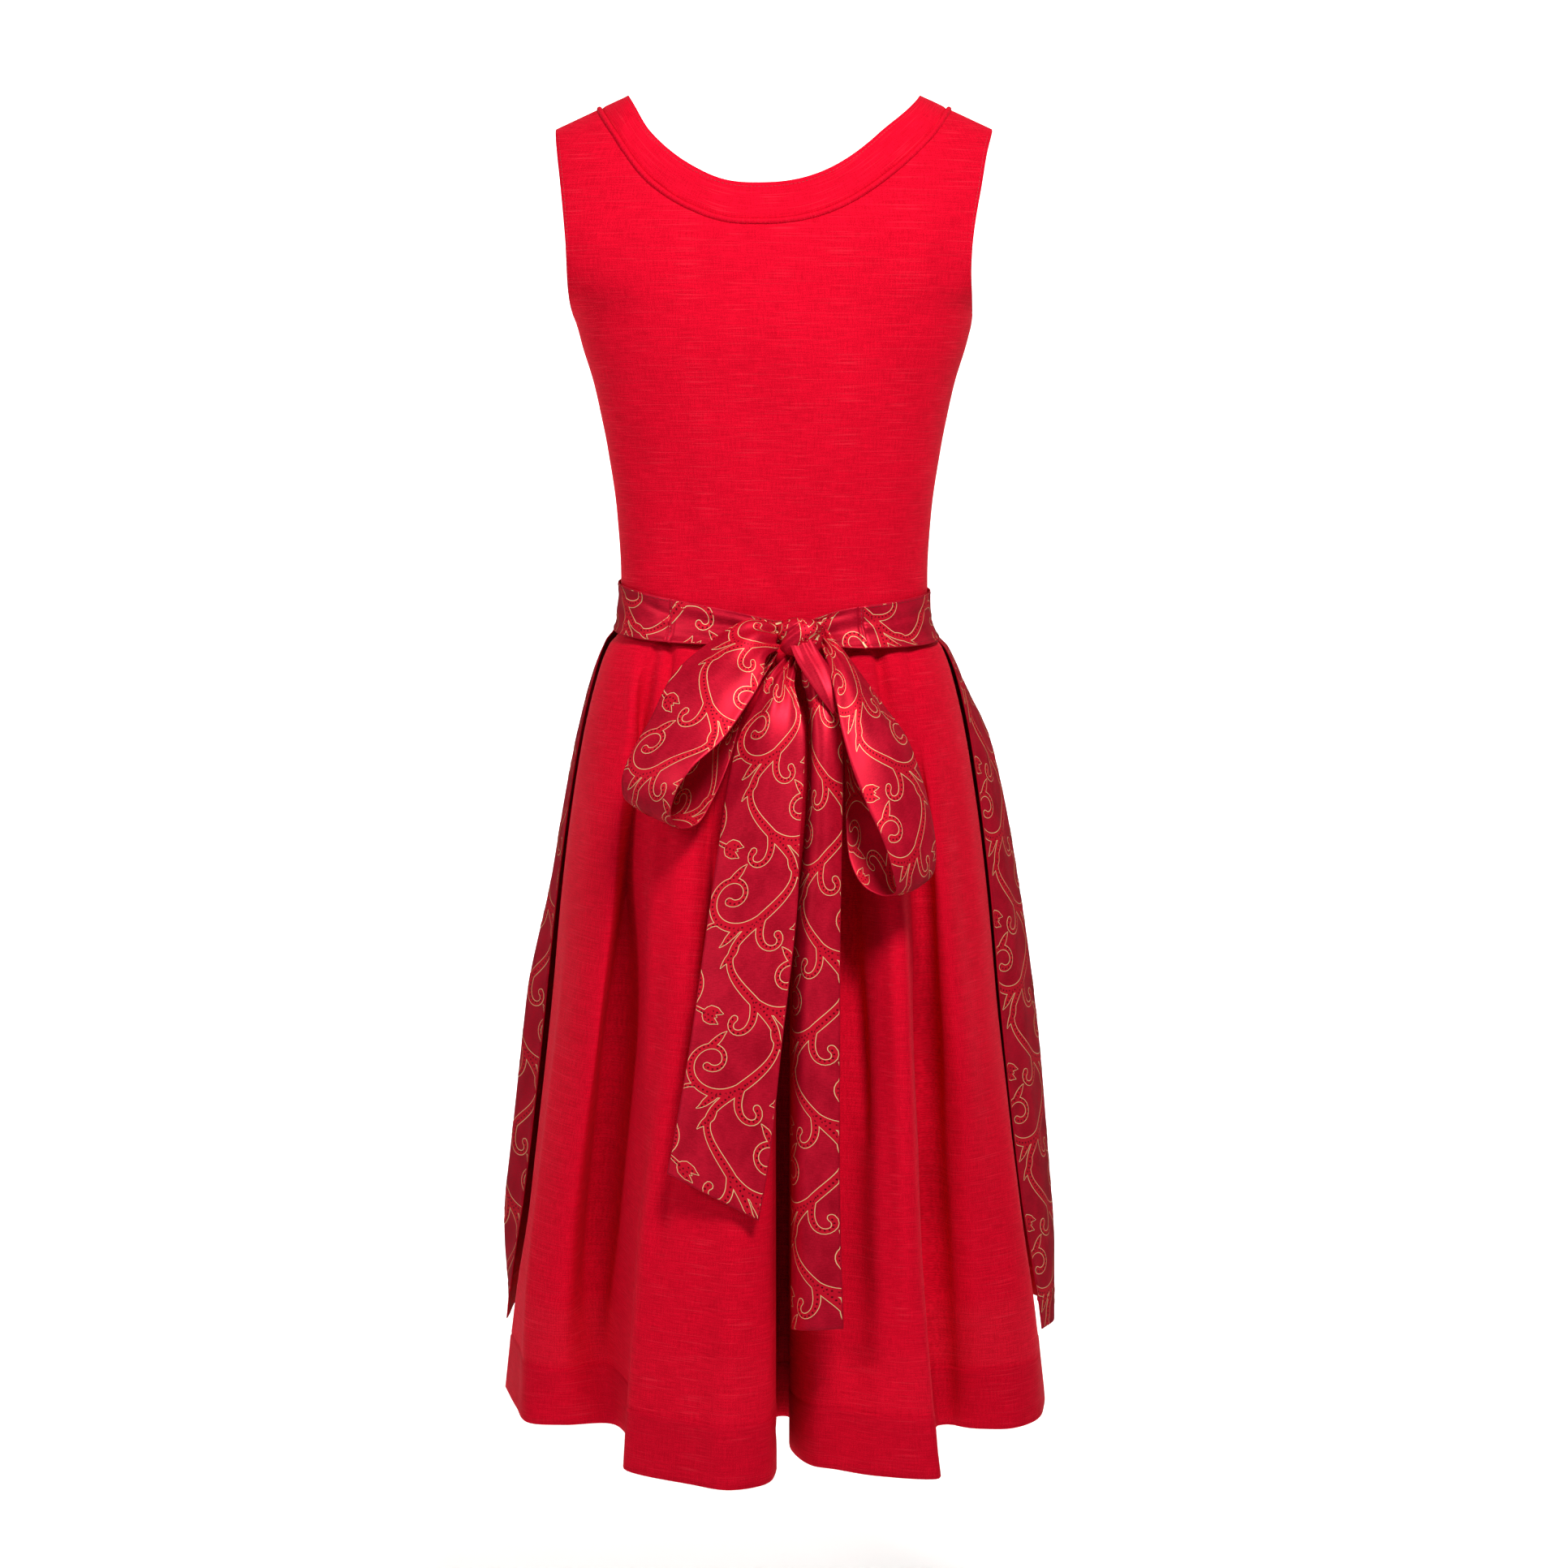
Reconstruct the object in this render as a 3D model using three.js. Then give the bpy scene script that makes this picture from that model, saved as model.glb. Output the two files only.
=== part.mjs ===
// A sleeveless dirndl, worn shape, with its apron tied in a bow at the back of the waist.
// Millimetres, +Z up. The back of the garment faces -Y, the wearer faces +Y and the wearer's right
// hand is at +X. The origin is at the height of the shoulder seams, midway between the shoulders.
// Every piece of cloth is a closed wall, worked out from tables of sizes by the functions below.
import * as THREE from 'three';

// ---------------------------------------------------------------- driving sizes

const LINEN = 1.6;              // wall of the linen panels
const SATIN = 1.2;              // wall of the satin pieces
const SEAM_GAP = 0.3;           // between two pieces that are sewn together
const SEAM_HALF = SEAM_GAP / 2;
const WAIST_Z = -425;           // waist seam, below the shoulder seams
const SKIRT_LENGTH = 655.5;     // waist seam to hem
const APRON_HEM_Z = -1029;
const SQUARENESS = 2.4;         // exponent of the body's rounded cross-section, 2 is an ellipse
const NECK_HALF = 118.5;        // half the width of the neckline at the shoulder seam
const NECK_POWER = 2.55;        // how square the neckline's curve is
const NECK_DROP_BACK = 75;
const NECK_DROP_FRONT = 165;
const BAND_SIDE = 23.5;         // width of the neckband at the shoulder, measured across
const BAND_MIDDLE = 30;         // width of the neckband at centre back and centre front
const SHOULDER_SLOPE = 0.46;
const SHOULDER_TIP = 177;       // half the width over the shoulder tips
const SHOULDER_ROLL = 70;       // height over which the cloth rounds over the shoulder
const UNDERARM_Z = -178;
const PIPING_RADIUS = 1.5;
const PIPING_RISE = 0.5;        // how far the piping's centre stands out of the wall's outer face
const PIPING_ROOM = PIPING_RADIUS + SEAM_GAP;
const PIPING_SIDES = 6;
const BAND_SLANT = 0.7;         // the lines across the neckband meet its seam at this sine or more

const LINEN_RED = new THREE.MeshStandardMaterial({ color: 0xd00a2c, roughness: 0.85, metalness: 0 });
const SATIN_RED = new THREE.MeshStandardMaterial({ color: 0x9c0a26, roughness: 0.4, metalness: 0 });

// Outer face of the worn bodice: half width, and depth behind and before the side seams.
const BODY_ROWS = [
  { z: 0, half: 200, back: 92, front: 74 },
  { z: -75, half: 200, back: 97, front: 84 },
  { z: -120, half: 199, back: 106, front: 102 },
  { z: -150, half: 188, back: 108, front: 114 },
  { z: -178, half: 164, back: 108, front: 123 },
  { z: -205, half: 156, back: 106, front: 129 },
  { z: -231, half: 148, back: 102, front: 128 },
  { z: -258, half: 142, back: 97.5, front: 121 },
  { z: -284, half: 137, back: 93, front: 112 },
  { z: -337, half: 129.5, back: 86, front: 99 },
  { z: -390, half: 126.5, back: 82, front: 92 },
  { z: -425, half: 126.5, back: 83, front: 93 },
];

// Outer envelope of the skirt, which its folds share.
const SKIRT_ROWS = [
  { z: -425, half: 126.5, back: 83, front: 93 },
  { z: -437, half: 130.5, back: 87, front: 97 },
  { z: -447, half: 138.5, back: 94, front: 103 },
  { z: -471, half: 147.5, back: 110, front: 115 },
  { z: -531, half: 161, back: 135, front: 133 },
  { z: -646, half: 177, back: 165, front: 152 },
  { z: -761, half: 188, back: 190, front: 168 },
  { z: -916, half: 206, back: 220, front: 190 },
  { z: -1000, half: 219.5, back: 235, front: 202 },
  { z: -1081, half: 229, back: 250, front: 213 },
];

// Armhole edges of the back and the front, half widths from the shoulder tip to the underarm.
const ARMHOLE_ROWS = [
  { z: -27.5, back: 177, front: 176 },
  { z: -46, back: 174.5, front: 166 },
  { z: -72, back: 171, front: 156 },
  { z: -100, back: 168, front: 149 },
  { z: -126, back: 166, front: 147 },
  { z: -151, back: 165.5, front: 152 },
  { z: -166, back: 165, front: 159 },
  { z: -178, back: 163.9, front: 163.9 },
];

// The worn bodice hangs a little askew. NECK_SHIFT is how far the cloth beside the neckline lies to
// the side at each place across it, and NECK_FADE the share of that at each height. ARMHOLE_SHIFT
// is the same for the cloth beside the right armhole, outside ARMHOLE_FROM.
const NECK_SHIFT = [
  { x: -125, shift: 0 }, { x: -90, shift: -4.5 }, { x: -60, shift: -4 }, { x: -25, shift: -9 },
  { x: 0, shift: -13 }, { x: 25, shift: -14 }, { x: 60, shift: -12.5 }, { x: 90, shift: -9.5 },
  { x: 125, shift: 0 },
];
const NECK_FADE = [
  { z: -250, share: 0 }, { z: -120, share: 1 }, { z: -34, share: 1 }, { z: -5, share: 0 },
];
const ARMHOLE_SHIFT = [
  { z: -185, shift: 0 }, { z: -165, shift: -5.5 }, { z: -140, shift: -8 }, { z: -105, shift: -7 },
  { z: -75, shift: -4.7 }, { z: -50, shift: -3.4 }, { z: -27, shift: 0 },
];
const ARMHOLE_FROM = 100;
const ARMHOLE_FULLY = 160;

// Folds of the back skirt from the left side seam to the right one. turn is the angle from centre
// back in degrees and reach the share of the envelope, each at the heights in FOLD_LEVELS.
const FOLD_LEVELS = [0, 0.28, 0.5, 0.75, 1];
const SIDE_REACH = [0.985, 1, 1, 1, 1];
const BACK_FOLDS = [
  { fold: 'side seam', turn: [-90, -90, -90, -90, -90],
    reach: SIDE_REACH, steps: 2 },
  { fold: 'side crease', turn: [-76, -77, -78, -79, -76],
    reach: [0.99, 1, 0.99, 0.98, 0.967], steps: 2 },
  { fold: 'left ridge', turn: [-60, -64.9, -69.6, -71.2, -66],
    reach: [0.985, 0.995, 1.008, 1.015, 0.966], steps: 2 },
  { fold: 'left panel edge', turn: [-46, -46.5, -50.5, -58.8, -61],
    reach: [0.985, 0.999, 0.977, 0.93, 0.859], steps: 2 },
  { fold: 'left groove', turn: [-43, -52.2, -60.3, -67.8, -55.8],
    reach: [0.95, 0.852, 0.793, 0.77, 0.713], steps: 2 },
  { fold: 'left box slope', turn: [-38, -40.5, -42.2, -47.6, -42],
    reach: [0.97, 0.938, 0.875, 0.808, 0.764], steps: 2 },
  { fold: 'left box wall', turn: [-24, -29.4, -31.7, -35.5, -32.9],
    reach: [0.985, 1.011, 0.955, 0.92, 0.901], steps: 1 },
  { fold: 'left box edge', turn: [-18, -24, -25.9, -30.5, -30.8],
    reach: [0.99, 1.051, 1.016, 1.002, 1.006], steps: 2 },
  { fold: 'left box face', turn: [-9, -9, -11, -15.5, -15.9],
    reach: [0.99, 1.02, 1.03, 1.04, 1.048], steps: 2 },
  { fold: 'left box crown', turn: [-4, -4, -5, -7.5, -7.9],
    reach: [0.99, 1.02, 1.04, 1.06, 1.074], steps: 2 },
  { fold: 'left box corner', turn: [-0.8, -0.8, -1, -1.3, -1.5],
    reach: [0.985, 1, 1, 1, 1.008], steps: 1 },
  { fold: 'left lip', turn: [0.5, 0.45, 0.4, 0.35, 0.3],
    reach: [0.97, 0.94, 0.91, 0.9, 0.904], steps: 2 },
  { fold: 'recess left', turn: [1.1, 1.2, 1.3, 1.4, 1.5],
    reach: [0.82, 0.62, 0.5, 0.38, 0.33], steps: 1 },
  { fold: 'recess right', turn: [6.2, 7, 7.5, 8, 8.4],
    reach: [0.82, 0.62, 0.5, 0.38, 0.33], steps: 2 },
  { fold: 'right lip', turn: [5.6, 5.4, 5.3, 5.2, 5.2],
    reach: [0.97, 0.9, 0.82, 0.74, 0.679], steps: 2 },
  { fold: 'right box corner', turn: [8, 8.8, 9.9, 9.9, 9],
    reach: [0.99, 0.983, 0.928, 0.872, 0.839], steps: 2 },
  { fold: 'right pocket', turn: [10.5, 24.8, 19.7, 16.1, 13.6],
    reach: [0.95, 0.853, 0.858, 0.908, 0.889], steps: 2 },
  { fold: 'right box face', turn: [13, 29, 25.7, 23, 20.6],
    reach: [0.985, 1, 1.009, 1.042, 0.992], steps: 2 },
  { fold: 'right box edge', turn: [15.5, 33.5, 29.9, 29.5, 30.8],
    reach: [0.99, 1.024, 1.115, 1.112, 1.109], steps: 1 },
  { fold: 'right box wall', turn: [18, 39.5, 36.6, 37.2, 34.3],
    reach: [0.97, 0.958, 0.993, 0.97, 0.984], steps: 2 },
  { fold: 'right groove', turn: [34, 49.7, 53.4, 58.4, 54.4],
    reach: [0.95, 0.867, 0.819, 0.763, 0.742], steps: 2 },
  { fold: 'right rise', turn: [45, 50.4, 54.9, 61.7, 58],
    reach: [0.98, 0.979, 0.96, 0.882, 0.86], steps: 2 },
  { fold: 'right ridge', turn: [57, 60.9, 67.3, 69.4, 61.9],
    reach: [0.99, 0.984, 0.99, 0.954, 0.96], steps: 2 },
  { fold: 'right crease', turn: [67, 70, 76, 78, 69],
    reach: [0.99, 1, 1, 1.01, 1.012], steps: 2 },
  { fold: 'side crease', turn: [79, 80, 83, 84, 79],
    reach: [1, 1, 1, 1, 1.004], steps: 2 },
  { fold: 'side seam', turn: [90, 90, 90, 90, 90],
    reach: SIDE_REACH, steps: 0 },
];

// Soft folds of the front skirt, which the apron covers, from the right side seam round to the left.
const FRONT_FOLD_DEPTH = 0.035;
const FRONT_FOLDS = 7;
const ROUNDS_OUT = 0.35;        // share of the skirt's length over which its section turns round

// The apron hangs outside the skirt: its two free edges, the flare beside each and the gathered
// front. Each reach is a share of the skirt's envelope, at the heights in APRON_LEVELS.
const APRON_LEVELS = [0.018, 0.07, 0.165, 0.335, 0.51, 0.75, 0.922];
const APRON_RIGHT_EDGE = { turn: 89.2, reach: [1.026, 1.025, 1.022, 1.018, 1.016, 1.016, 1.017] };
const APRON_RIGHT_BEND = { turn: 97, reach: [1.04, 1.052, 1.105, 1.131, 1.145, 1.132, 1.085] };
const APRON_RIGHT_FLARE = { turn: 107, reach: [1.05, 1.07, 1.165, 1.21, 1.235, 1.2, 1.12] };
const APRON_LEFT_FLARE = { turn: 254, reach: [1.02, 1.05, 1.07, 1.105, 1.175, 1.165, 1.06] };
const APRON_LEFT_EDGE = { turn: 262, reach: [1.018, 1.022, 1.028, 1.038, 1.048, 1.048, 1.04] };
const APRON_FRONT = [1.032, 1.045, 1.07, 1.09, 1.1, 1.1, 1.1];
const APRON_WAVES = 8;
const APRON_WAVE_DEPTH = [0, 0.012, 0.02, 0.026, 0.03, 0.034, 0.036];
const APRON_GATHERS_FROM = 118; // turns between which the gathered front lies
const APRON_GATHERS_TO = 242;

const APRON_SEAM = 0.8;         // from the waistband's lower edge to the apron's top edge
const APRON_EVENS_OUT = 0.06;   // share of the skirt's length over which the tilted top evens out

// Heights of the waistband and ties round the waist, by turn from centre back.
const SASH_LIFT = 2.5;          // outer face of the satin above the linen's outer face
const SASH_FLARE = 1.6;         // how much further out the lower edge stands, over the skirt's gathers
const SASH_TILT = 3.6;          // the band sits this much lower at the right side than at the middle
const SASH_ROWS = [
  { turn: 0, top: -417, bottom: -441 },
  { turn: 20, top: -411.5, bottom: -441 },
  { turn: 40, top: -406, bottom: -440.5 },
  { turn: 65, top: -400.5, bottom: -438.5 },
  { turn: 90, top: -398, bottom: -436 },
  { turn: 180, top: -396, bottom: -436 },
];
const TIE_SEAM_LEFT = -38;      // turn at which the left tie is sewn to the waistband
const TIE_SEAM_RIGHT = 32;
const TIE_END_LEFT = 2.6;       // turn at which each tie reaches the knot
const TIE_END_RIGHT = 13.05;
const TIE_LIFT = 12;            // how far the ties lift off the waist where they reach the knot
const TIE_DRAWN_IN = 0.72;      // share of the tie's width that is left at the knot
const TIE_SEAM_TURN = 0.1;      // half the gap at a tie's seam, in degrees
const WAISTBAND_COLUMNS = 44;

const KNOT = { x: 21, y: -112, z: -432, half: 17, depth: 14, height: 15.5 };
const KNOT_FOLDS = 5;
const KNOT_FOLD_DEPTH = 0.07;
const KNOT_FOLD_SLANT = 2.5;    // a fold drops by the turn divided by this
const KNOT_FULLNESS = 0.8;      // below 1 the knot is fuller than an ellipsoid at its ends
const RIBBON_COLUMNS = 5;

// Ribbons of the bow. Each row is a place along the ribbon: its left edge, its right edge and how
// far the middle bulges away from the straight line between them.
const LOOP_LEFT_ROWS = [
  { lx: 1, ly: -100, lz: -422, rx: 3.4, ry: -117, rz: -441, cup: 0 },
  { lx: -22, ly: -108, lz: -419, rx: -6, ry: -132, rz: -446, cup: 3 },
  { lx: -54, ly: -117, lz: -438, rx: -9, ry: -149, rz: -461, cup: 5 },
  { lx: -80, ly: -131, lz: -461, rx: -24, ry: -166, rz: -485, cup: 6 },
  { lx: -97, ly: -145, lz: -494, rx: -42, ry: -182, rz: -508, cup: 5 },
  { lx: -112, ly: -156, lz: -520, rx: -63, ry: -194, rz: -526, cup: 4 },
  { lx: -119, ly: -161, lz: -541, rx: -76, ry: -197, rz: -546, cup: 3 },
  { lx: -116, ly: -156, lz: -557, rx: -80, ry: -191, rz: -564, cup: 3 },
  { lx: -106, ly: -147, lz: -559, rx: -73, ry: -178, rz: -576, cup: 3 },
  { lx: -95, ly: -141, lz: -551, rx: -60, ry: -167, rz: -574, cup: 3 },
  { lx: -82, ly: -136, lz: -534, rx: -49, ry: -158, rz: -558, cup: 2 },
  { lx: -62, ly: -129, lz: -505, rx: -37, ry: -148, rz: -532, cup: 1 },
  { lx: -34, ly: -115, lz: -468, rx: -22, ry: -127, rz: -487, cup: 0 },
  { lx: -2, ly: -104, lz: -438, rx: 3.2, ry: -112, rz: -445, cup: 0 },
];
const LOOP_RIGHT_ROWS = [
  { lx: 38.5, ly: -116, lz: -441, rx: 41, ry: -102, rz: -426, cup: 0 },
  { lx: 44, ly: -138, lz: -457, rx: 54, ry: -110, rz: -441, cup: 3 },
  { lx: 49, ly: -158, lz: -478, rx: 69, ry: -118, rz: -461, cup: 6 },
  { lx: 54, ly: -172, lz: -503, rx: 87, ry: -128, rz: -485, cup: 8 },
  { lx: 62, ly: -183, lz: -530, rx: 104, ry: -140, rz: -508, cup: 8 },
  { lx: 73, ly: -192, lz: -557, rx: 116, ry: -151, rz: -539, cup: 7 },
  { lx: 85, ly: -199, lz: -583, rx: 124, ry: -162, rz: -571, cup: 6 },
  { lx: 93, ly: -200, lz: -609, rx: 127, ry: -168, rz: -598, cup: 5 },
  { lx: 95, ly: -194, lz: -624, rx: 124, ry: -166, rz: -615, cup: 4 },
  { lx: 86, ly: -186, lz: -628, rx: 117, ry: -161, rz: -616, cup: 4 },
  { lx: 71, ly: -179, lz: -622, rx: 106, ry: -157, rz: -604, cup: 3 },
  { lx: 60, ly: -166, lz: -603, rx: 96, ry: -148, rz: -580, cup: 2 },
  { lx: 56.5, ly: -151, lz: -567, rx: 84, ry: -140, rz: -548, cup: 1 },
  { lx: 55, ly: -135, lz: -521, rx: 70, ry: -128, rz: -505, cup: 0 },
  { lx: 47, ly: -118, lz: -468, rx: 55, ry: -111, rz: -458, cup: 0 },
  { lx: 38, ly: -110, lz: -446, rx: 41, ry: -102.5, rz: -437, cup: 0 },
];
const TAIL_LEFT_ROWS = [
  { lx: 9, ly: -112, lz: -447.6, rx: 20, ry: -113, rz: -448.4, cup: 0 },
  { lx: -7, ly: -131, lz: -465, rx: 16, ry: -132, rz: -467, cup: 2 },
  { lx: -15, ly: -143, lz: -484, rx: 20, ry: -144, rz: -484, cup: 4 },
  { lx: -27, ly: -151, lz: -507, rx: 24, ry: -153, rz: -505, cup: 5 },
  { lx: -36, ly: -157, lz: -545, rx: 23.5, ry: -162, rz: -543, cup: 5 },
  { lx: -43, ly: -164, lz: -590, rx: 20.5, ry: -172, rz: -584, cup: 5 },
  { lx: -51, ly: -172, lz: -645, rx: 18, ry: -183, rz: -640, cup: 4 },
  { lx: -65, ly: -193, lz: -743, rx: 6, ry: -207, rz: -743, cup: 3 },
  { lx: -77, ly: -207, lz: -812, rx: -4, ry: -225, rz: -832, cup: 3 },
  { lx: -83, ly: -214, lz: -843, rx: -12, ry: -235, rz: -875, cup: 3 },
];
const TAIL_RIGHT_ROWS = [
  { lx: 23, ly: -112, lz: -449, rx: 33.5, ry: -111, rz: -446, cup: 0 },
  { lx: 22, ly: -122, lz: -464, rx: 41, ry: -126, rz: -462, cup: 4 },
  { lx: 27, ly: -130, lz: -482, rx: 48, ry: -140, rz: -481, cup: 8 },
  { lx: 28, ly: -136, lz: -505, rx: 53, ry: -150, rz: -504, cup: 12 },
  { lx: 27.5, ly: -145, lz: -545, rx: 54, ry: -158, rz: -545, cup: 14 },
  { lx: 23.5, ly: -156, lz: -600, rx: 53, ry: -169, rz: -600, cup: 12 },
  { lx: 17, ly: -164, lz: -660, rx: 52, ry: -180, rz: -660, cup: 12 },
  { lx: 14, ly: -176, lz: -760, rx: 51.5, ry: -200, rz: -760, cup: 15 },
  { lx: 14, ly: -196, lz: -870, rx: 51.5, ry: -221, rz: -868, cup: 15 },
  { lx: 14, ly: -212, lz: -968, rx: 54, ry: -239, rz: -960, cup: 15 },
];

// ---------------------------------------------------------------- numbers and curves

const radians = THREE.MathUtils.degToRad;
const mix = THREE.MathUtils.lerp;
const clamp = THREE.MathUtils.clamp;

function evenly(count, from = 0, to = 1) {
  return Array.from({ length: count + 1 }, (_, i) => mix(from, to, i / count));
}

// A share between `least` and 1 that differs from one fold to the next.
function uneven(i, least) {
  return mix(least, 1, 0.5 + 0.5 * Math.cos(2.3 * i));
}

// A smooth curve through rising keys and their values that never overshoots a value.
function through(keys, values) {
  const rise = keys.slice(1).map((key, i) => (values[i + 1] - values[i]) / (key - keys[i]));
  const slopes = keys.map((_, i) => {
    if (i === 0) return rise[0];
    if (i === keys.length - 1) return rise[i - 1];
    if (rise[i - 1] * rise[i] <= 0) return 0;
    return (2 * rise[i - 1] * rise[i]) / (rise[i - 1] + rise[i]);
  });
  return (key) => {
    const at = clamp(key, keys[0], keys[keys.length - 1]);
    let i = 0;
    while (i < keys.length - 2 && at > keys[i + 1]) i += 1;
    const span = keys[i + 1] - keys[i];
    const s = (at - keys[i]) / span;
    const lift = s * s * (3 - 2 * s);
    const bend = s * (1 - s) * span;
    return mix(values[i], values[i + 1], lift) + bend * (slopes[i] * (1 - s) - slopes[i + 1] * s);
  };
}

// One column of a table as a curve over its key column.
function column(rows, key, name) {
  const sorted = [...rows].sort((a, b) => a[key] - b[key]);
  return through(sorted.map((row) => row[key]), sorted.map((row) => row[name]));
}

function columns(rows, key, names) {
  return Object.fromEntries(names.map((name) => [name, column(rows, key, name)]));
}

const body = columns(BODY_ROWS, 'z', ['half', 'back', 'front']);
const skirt = columns(SKIRT_ROWS, 'z', ['half', 'back', 'front']);
const armhole = columns(ARMHOLE_ROWS, 'z', ['back', 'front']);
const sash = columns(SASH_ROWS, 'turn', ['top', 'bottom']);

// ---------------------------------------------------------------- the wall of one piece

function crossNormal(grid, i, j) {
  const last = grid.length - 1;
  const end = grid[0].length - 1;
  const across = grid[i][Math.min(j + 1, end)].clone().sub(grid[i][Math.max(j - 1, 0)]);
  const along = grid[Math.min(i + 1, last)][j].clone().sub(grid[Math.max(i - 1, 0)][j]);
  return across.cross(along).normalize();
}

function signedVolume(points, faces) {
  const six = ([a, b, c]) => points[a].dot(points[b].clone().cross(points[c]));
  return faces.reduce((sum, face) => sum + six(face), 0) / 6;
}

function solid(name, material, points, faces) {
  const outward = signedVolume(points, faces) > 0 ? faces : faces.map(([a, b, c]) => [a, c, b]);
  const geometry = new THREE.BufferGeometry().setFromPoints(points);
  geometry.setIndex(outward.flat());
  geometry.computeVertexNormals();
  const mesh = new THREE.Mesh(geometry, material);
  mesh.name = name;
  return mesh;
}

// A closed wall from a grid of points: two faces, and a rim round all four edges. The wall grows
// from the grid by `before` along the grid's normals and by `behind` against them, and `trim` keeps
// its points on their own side of a seam.
function wallFromGrid(name, material, grid, before, behind, trim = () => {}) {
  const rows = grid.length;
  const cols = grid[0].length;
  const points = [];
  for (const offset of [before, -behind]) {
    for (let i = 0; i < rows; i += 1) {
      for (let j = 0; j < cols; j += 1) {
        const point = grid[i][j].clone().addScaledVector(crossNormal(grid, i, j), offset);
        trim(point);
        points.push(point);
      }
    }
  }
  const front = (i, j) => i * cols + j;
  const rear = (i, j) => rows * cols + i * cols + j;
  const faces = [];
  const quad = (a, b, c, d) => faces.push([a, b, c], [a, c, d]);
  for (let i = 0; i < rows - 1; i += 1) {
    for (let j = 0; j < cols - 1; j += 1) {
      quad(front(i, j), front(i, j + 1), front(i + 1, j + 1), front(i + 1, j));
      quad(rear(i, j), rear(i + 1, j), rear(i + 1, j + 1), rear(i, j + 1));
    }
    quad(front(i, 0), front(i + 1, 0), rear(i + 1, 0), rear(i, 0));
    quad(front(i, cols - 1), rear(i, cols - 1), rear(i + 1, cols - 1), front(i + 1, cols - 1));
  }
  for (let j = 0; j < cols - 1; j += 1) {
    quad(front(0, j), rear(0, j), rear(0, j + 1), front(0, j + 1));
    quad(front(rows - 1, j), front(rows - 1, j + 1), rear(rows - 1, j + 1), rear(rows - 1, j));
  }
  return solid(name, material, points, faces);
}

// A worn panel: its outer face is at(u, v) and the wall grows inward, towards the body's axis.
function panel(name, material, across, along, at, wall, trim) {
  const grid = along.map((v) => across.map((u) => at(u, v)));
  const i = Math.floor(grid.length / 2);
  const j = Math.floor(grid[0].length / 2);
  const outward = new THREE.Vector3(grid[i][j].x, grid[i][j].y, 0);
  const facesOut = crossNormal(grid, i, j).dot(outward) > 0;
  return facesOut
    ? wallFromGrid(name, material, grid, 0, wall, trim)
    : wallFromGrid(name, material, grid, wall, 0, trim);
}

// Keeps a point behind or before the plane of the side and shoulder seams, and between two heights.
function trimTo(side, lowest = -Infinity, highest = Infinity) {
  return (point) => {
    point.y = side === 'back' ? Math.min(point.y, -SEAM_HALF) : Math.max(point.y, SEAM_HALF);
    point.z = clamp(point.z, lowest, highest);
  };
}

// ---------------------------------------------------------------- the worn body

// Unit vector of the rounded cross-section at a turn from centre back.
function section(turn) {
  const s = Math.sin(turn);
  const c = Math.cos(turn);
  const swell = (Math.abs(s) ** SQUARENESS + Math.abs(c) ** SQUARENESS) ** (-1 / SQUARENESS);
  return { x: s * swell, y: -c * swell };
}

// The turn at which the cross-section has a given share of its half width.
function turnAtWidth(share) {
  const power = Math.min(share, 0.9999) ** SQUARENESS;
  return Math.atan((power / (1 - power)) ** (1 / SQUARENESS));
}

function shoulderHeight(x) {
  return -SHOULDER_SLOPE * Math.max(Math.abs(x) - NECK_HALF, 0);
}

// A point of the bodice's outer face. The cloth rounds over the shoulder and ends at its seams.
function bodicePoint(side, turn, z) {
  const unit = section(turn);
  const x = body.half(z) * unit.x;
  const drop = clamp((shoulderHeight(x) - z) / SHOULDER_ROLL, 0, 1);
  const roll = Math.sqrt(1 - (1 - drop) ** 2);
  const depth = body[side](z) * Math.abs(unit.y) * roll + SEAM_HALF;
  return new THREE.Vector3(x, side === 'back' ? -depth : depth, z);
}

// The neckline and, 23 to 30 mm below it, the seam of the neckband: share 0 is the neckline, 1 the
// seam, and the numbers between and beyond follow the same curve. q runs from centre to shoulder.
function neckCurve(side, share, q) {
  const drop = side === 'back' ? NECK_DROP_BACK : NECK_DROP_FRONT;
  const half = NECK_HALF + BAND_SIDE * share;
  const sideZ = shoulderHeight(half);
  const middleZ = -drop - BAND_MIDDLE * share;
  return { x: half * q, z: mix(middleZ, sideZ, q ** NECK_POWER) };
}

// Where a curve of the bodice at half width x and height z lies, as a turn from the middle.
function bodiceTurn(x, z) {
  return turnAtWidth(Math.abs(x) / body.half(z));
}

function neckPoint(side, share, q) {
  const place = neckCurve(side, share, Math.abs(q));
  const point = bodicePoint(side, bodiceTurn(place.x, place.z), place.z);
  point.x = Math.sign(q) * place.x;
  return point;
}

// The share at which cloth ends beside the piping: -1 is the neckband's edge, 1 the panel's.
function beside(side, q, past) {
  const width = neckPoint(side, 0, q).distanceTo(neckPoint(side, 1, q));
  return 1 + (past * PIPING_ROOM) / (BAND_SLANT * width);
}

// ---------------------------------------------------------------- bodice

const BODICE_BOTTOM = WAIST_Z + SEAM_GAP;
const ALONG_BODICE = [0, 0.12, 0.26, 0.39, 0.51, 0.62, 0.71, 0.79, 0.86, 0.92, 0.968, 1];
const ARMHOLE_PULL = 6;         // how quickly the armhole's curve fades towards the middle
const NECK_PLACES = evenly(12).map((s) => 1 - (1 - s) ** 1.25);   // columns from centre to shoulder
const NECK_SHARE = 0.8;         // share of the columns that end at the neckband

const HALF_COLUMNS = [...NECK_PLACES.map((q) => q * NECK_SHARE), ...evenly(3, NECK_SHARE, 1).slice(1)];

function mirrored(places) {
  return [...places.slice(1).reverse().map((place) => -place), ...places];
}

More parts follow.
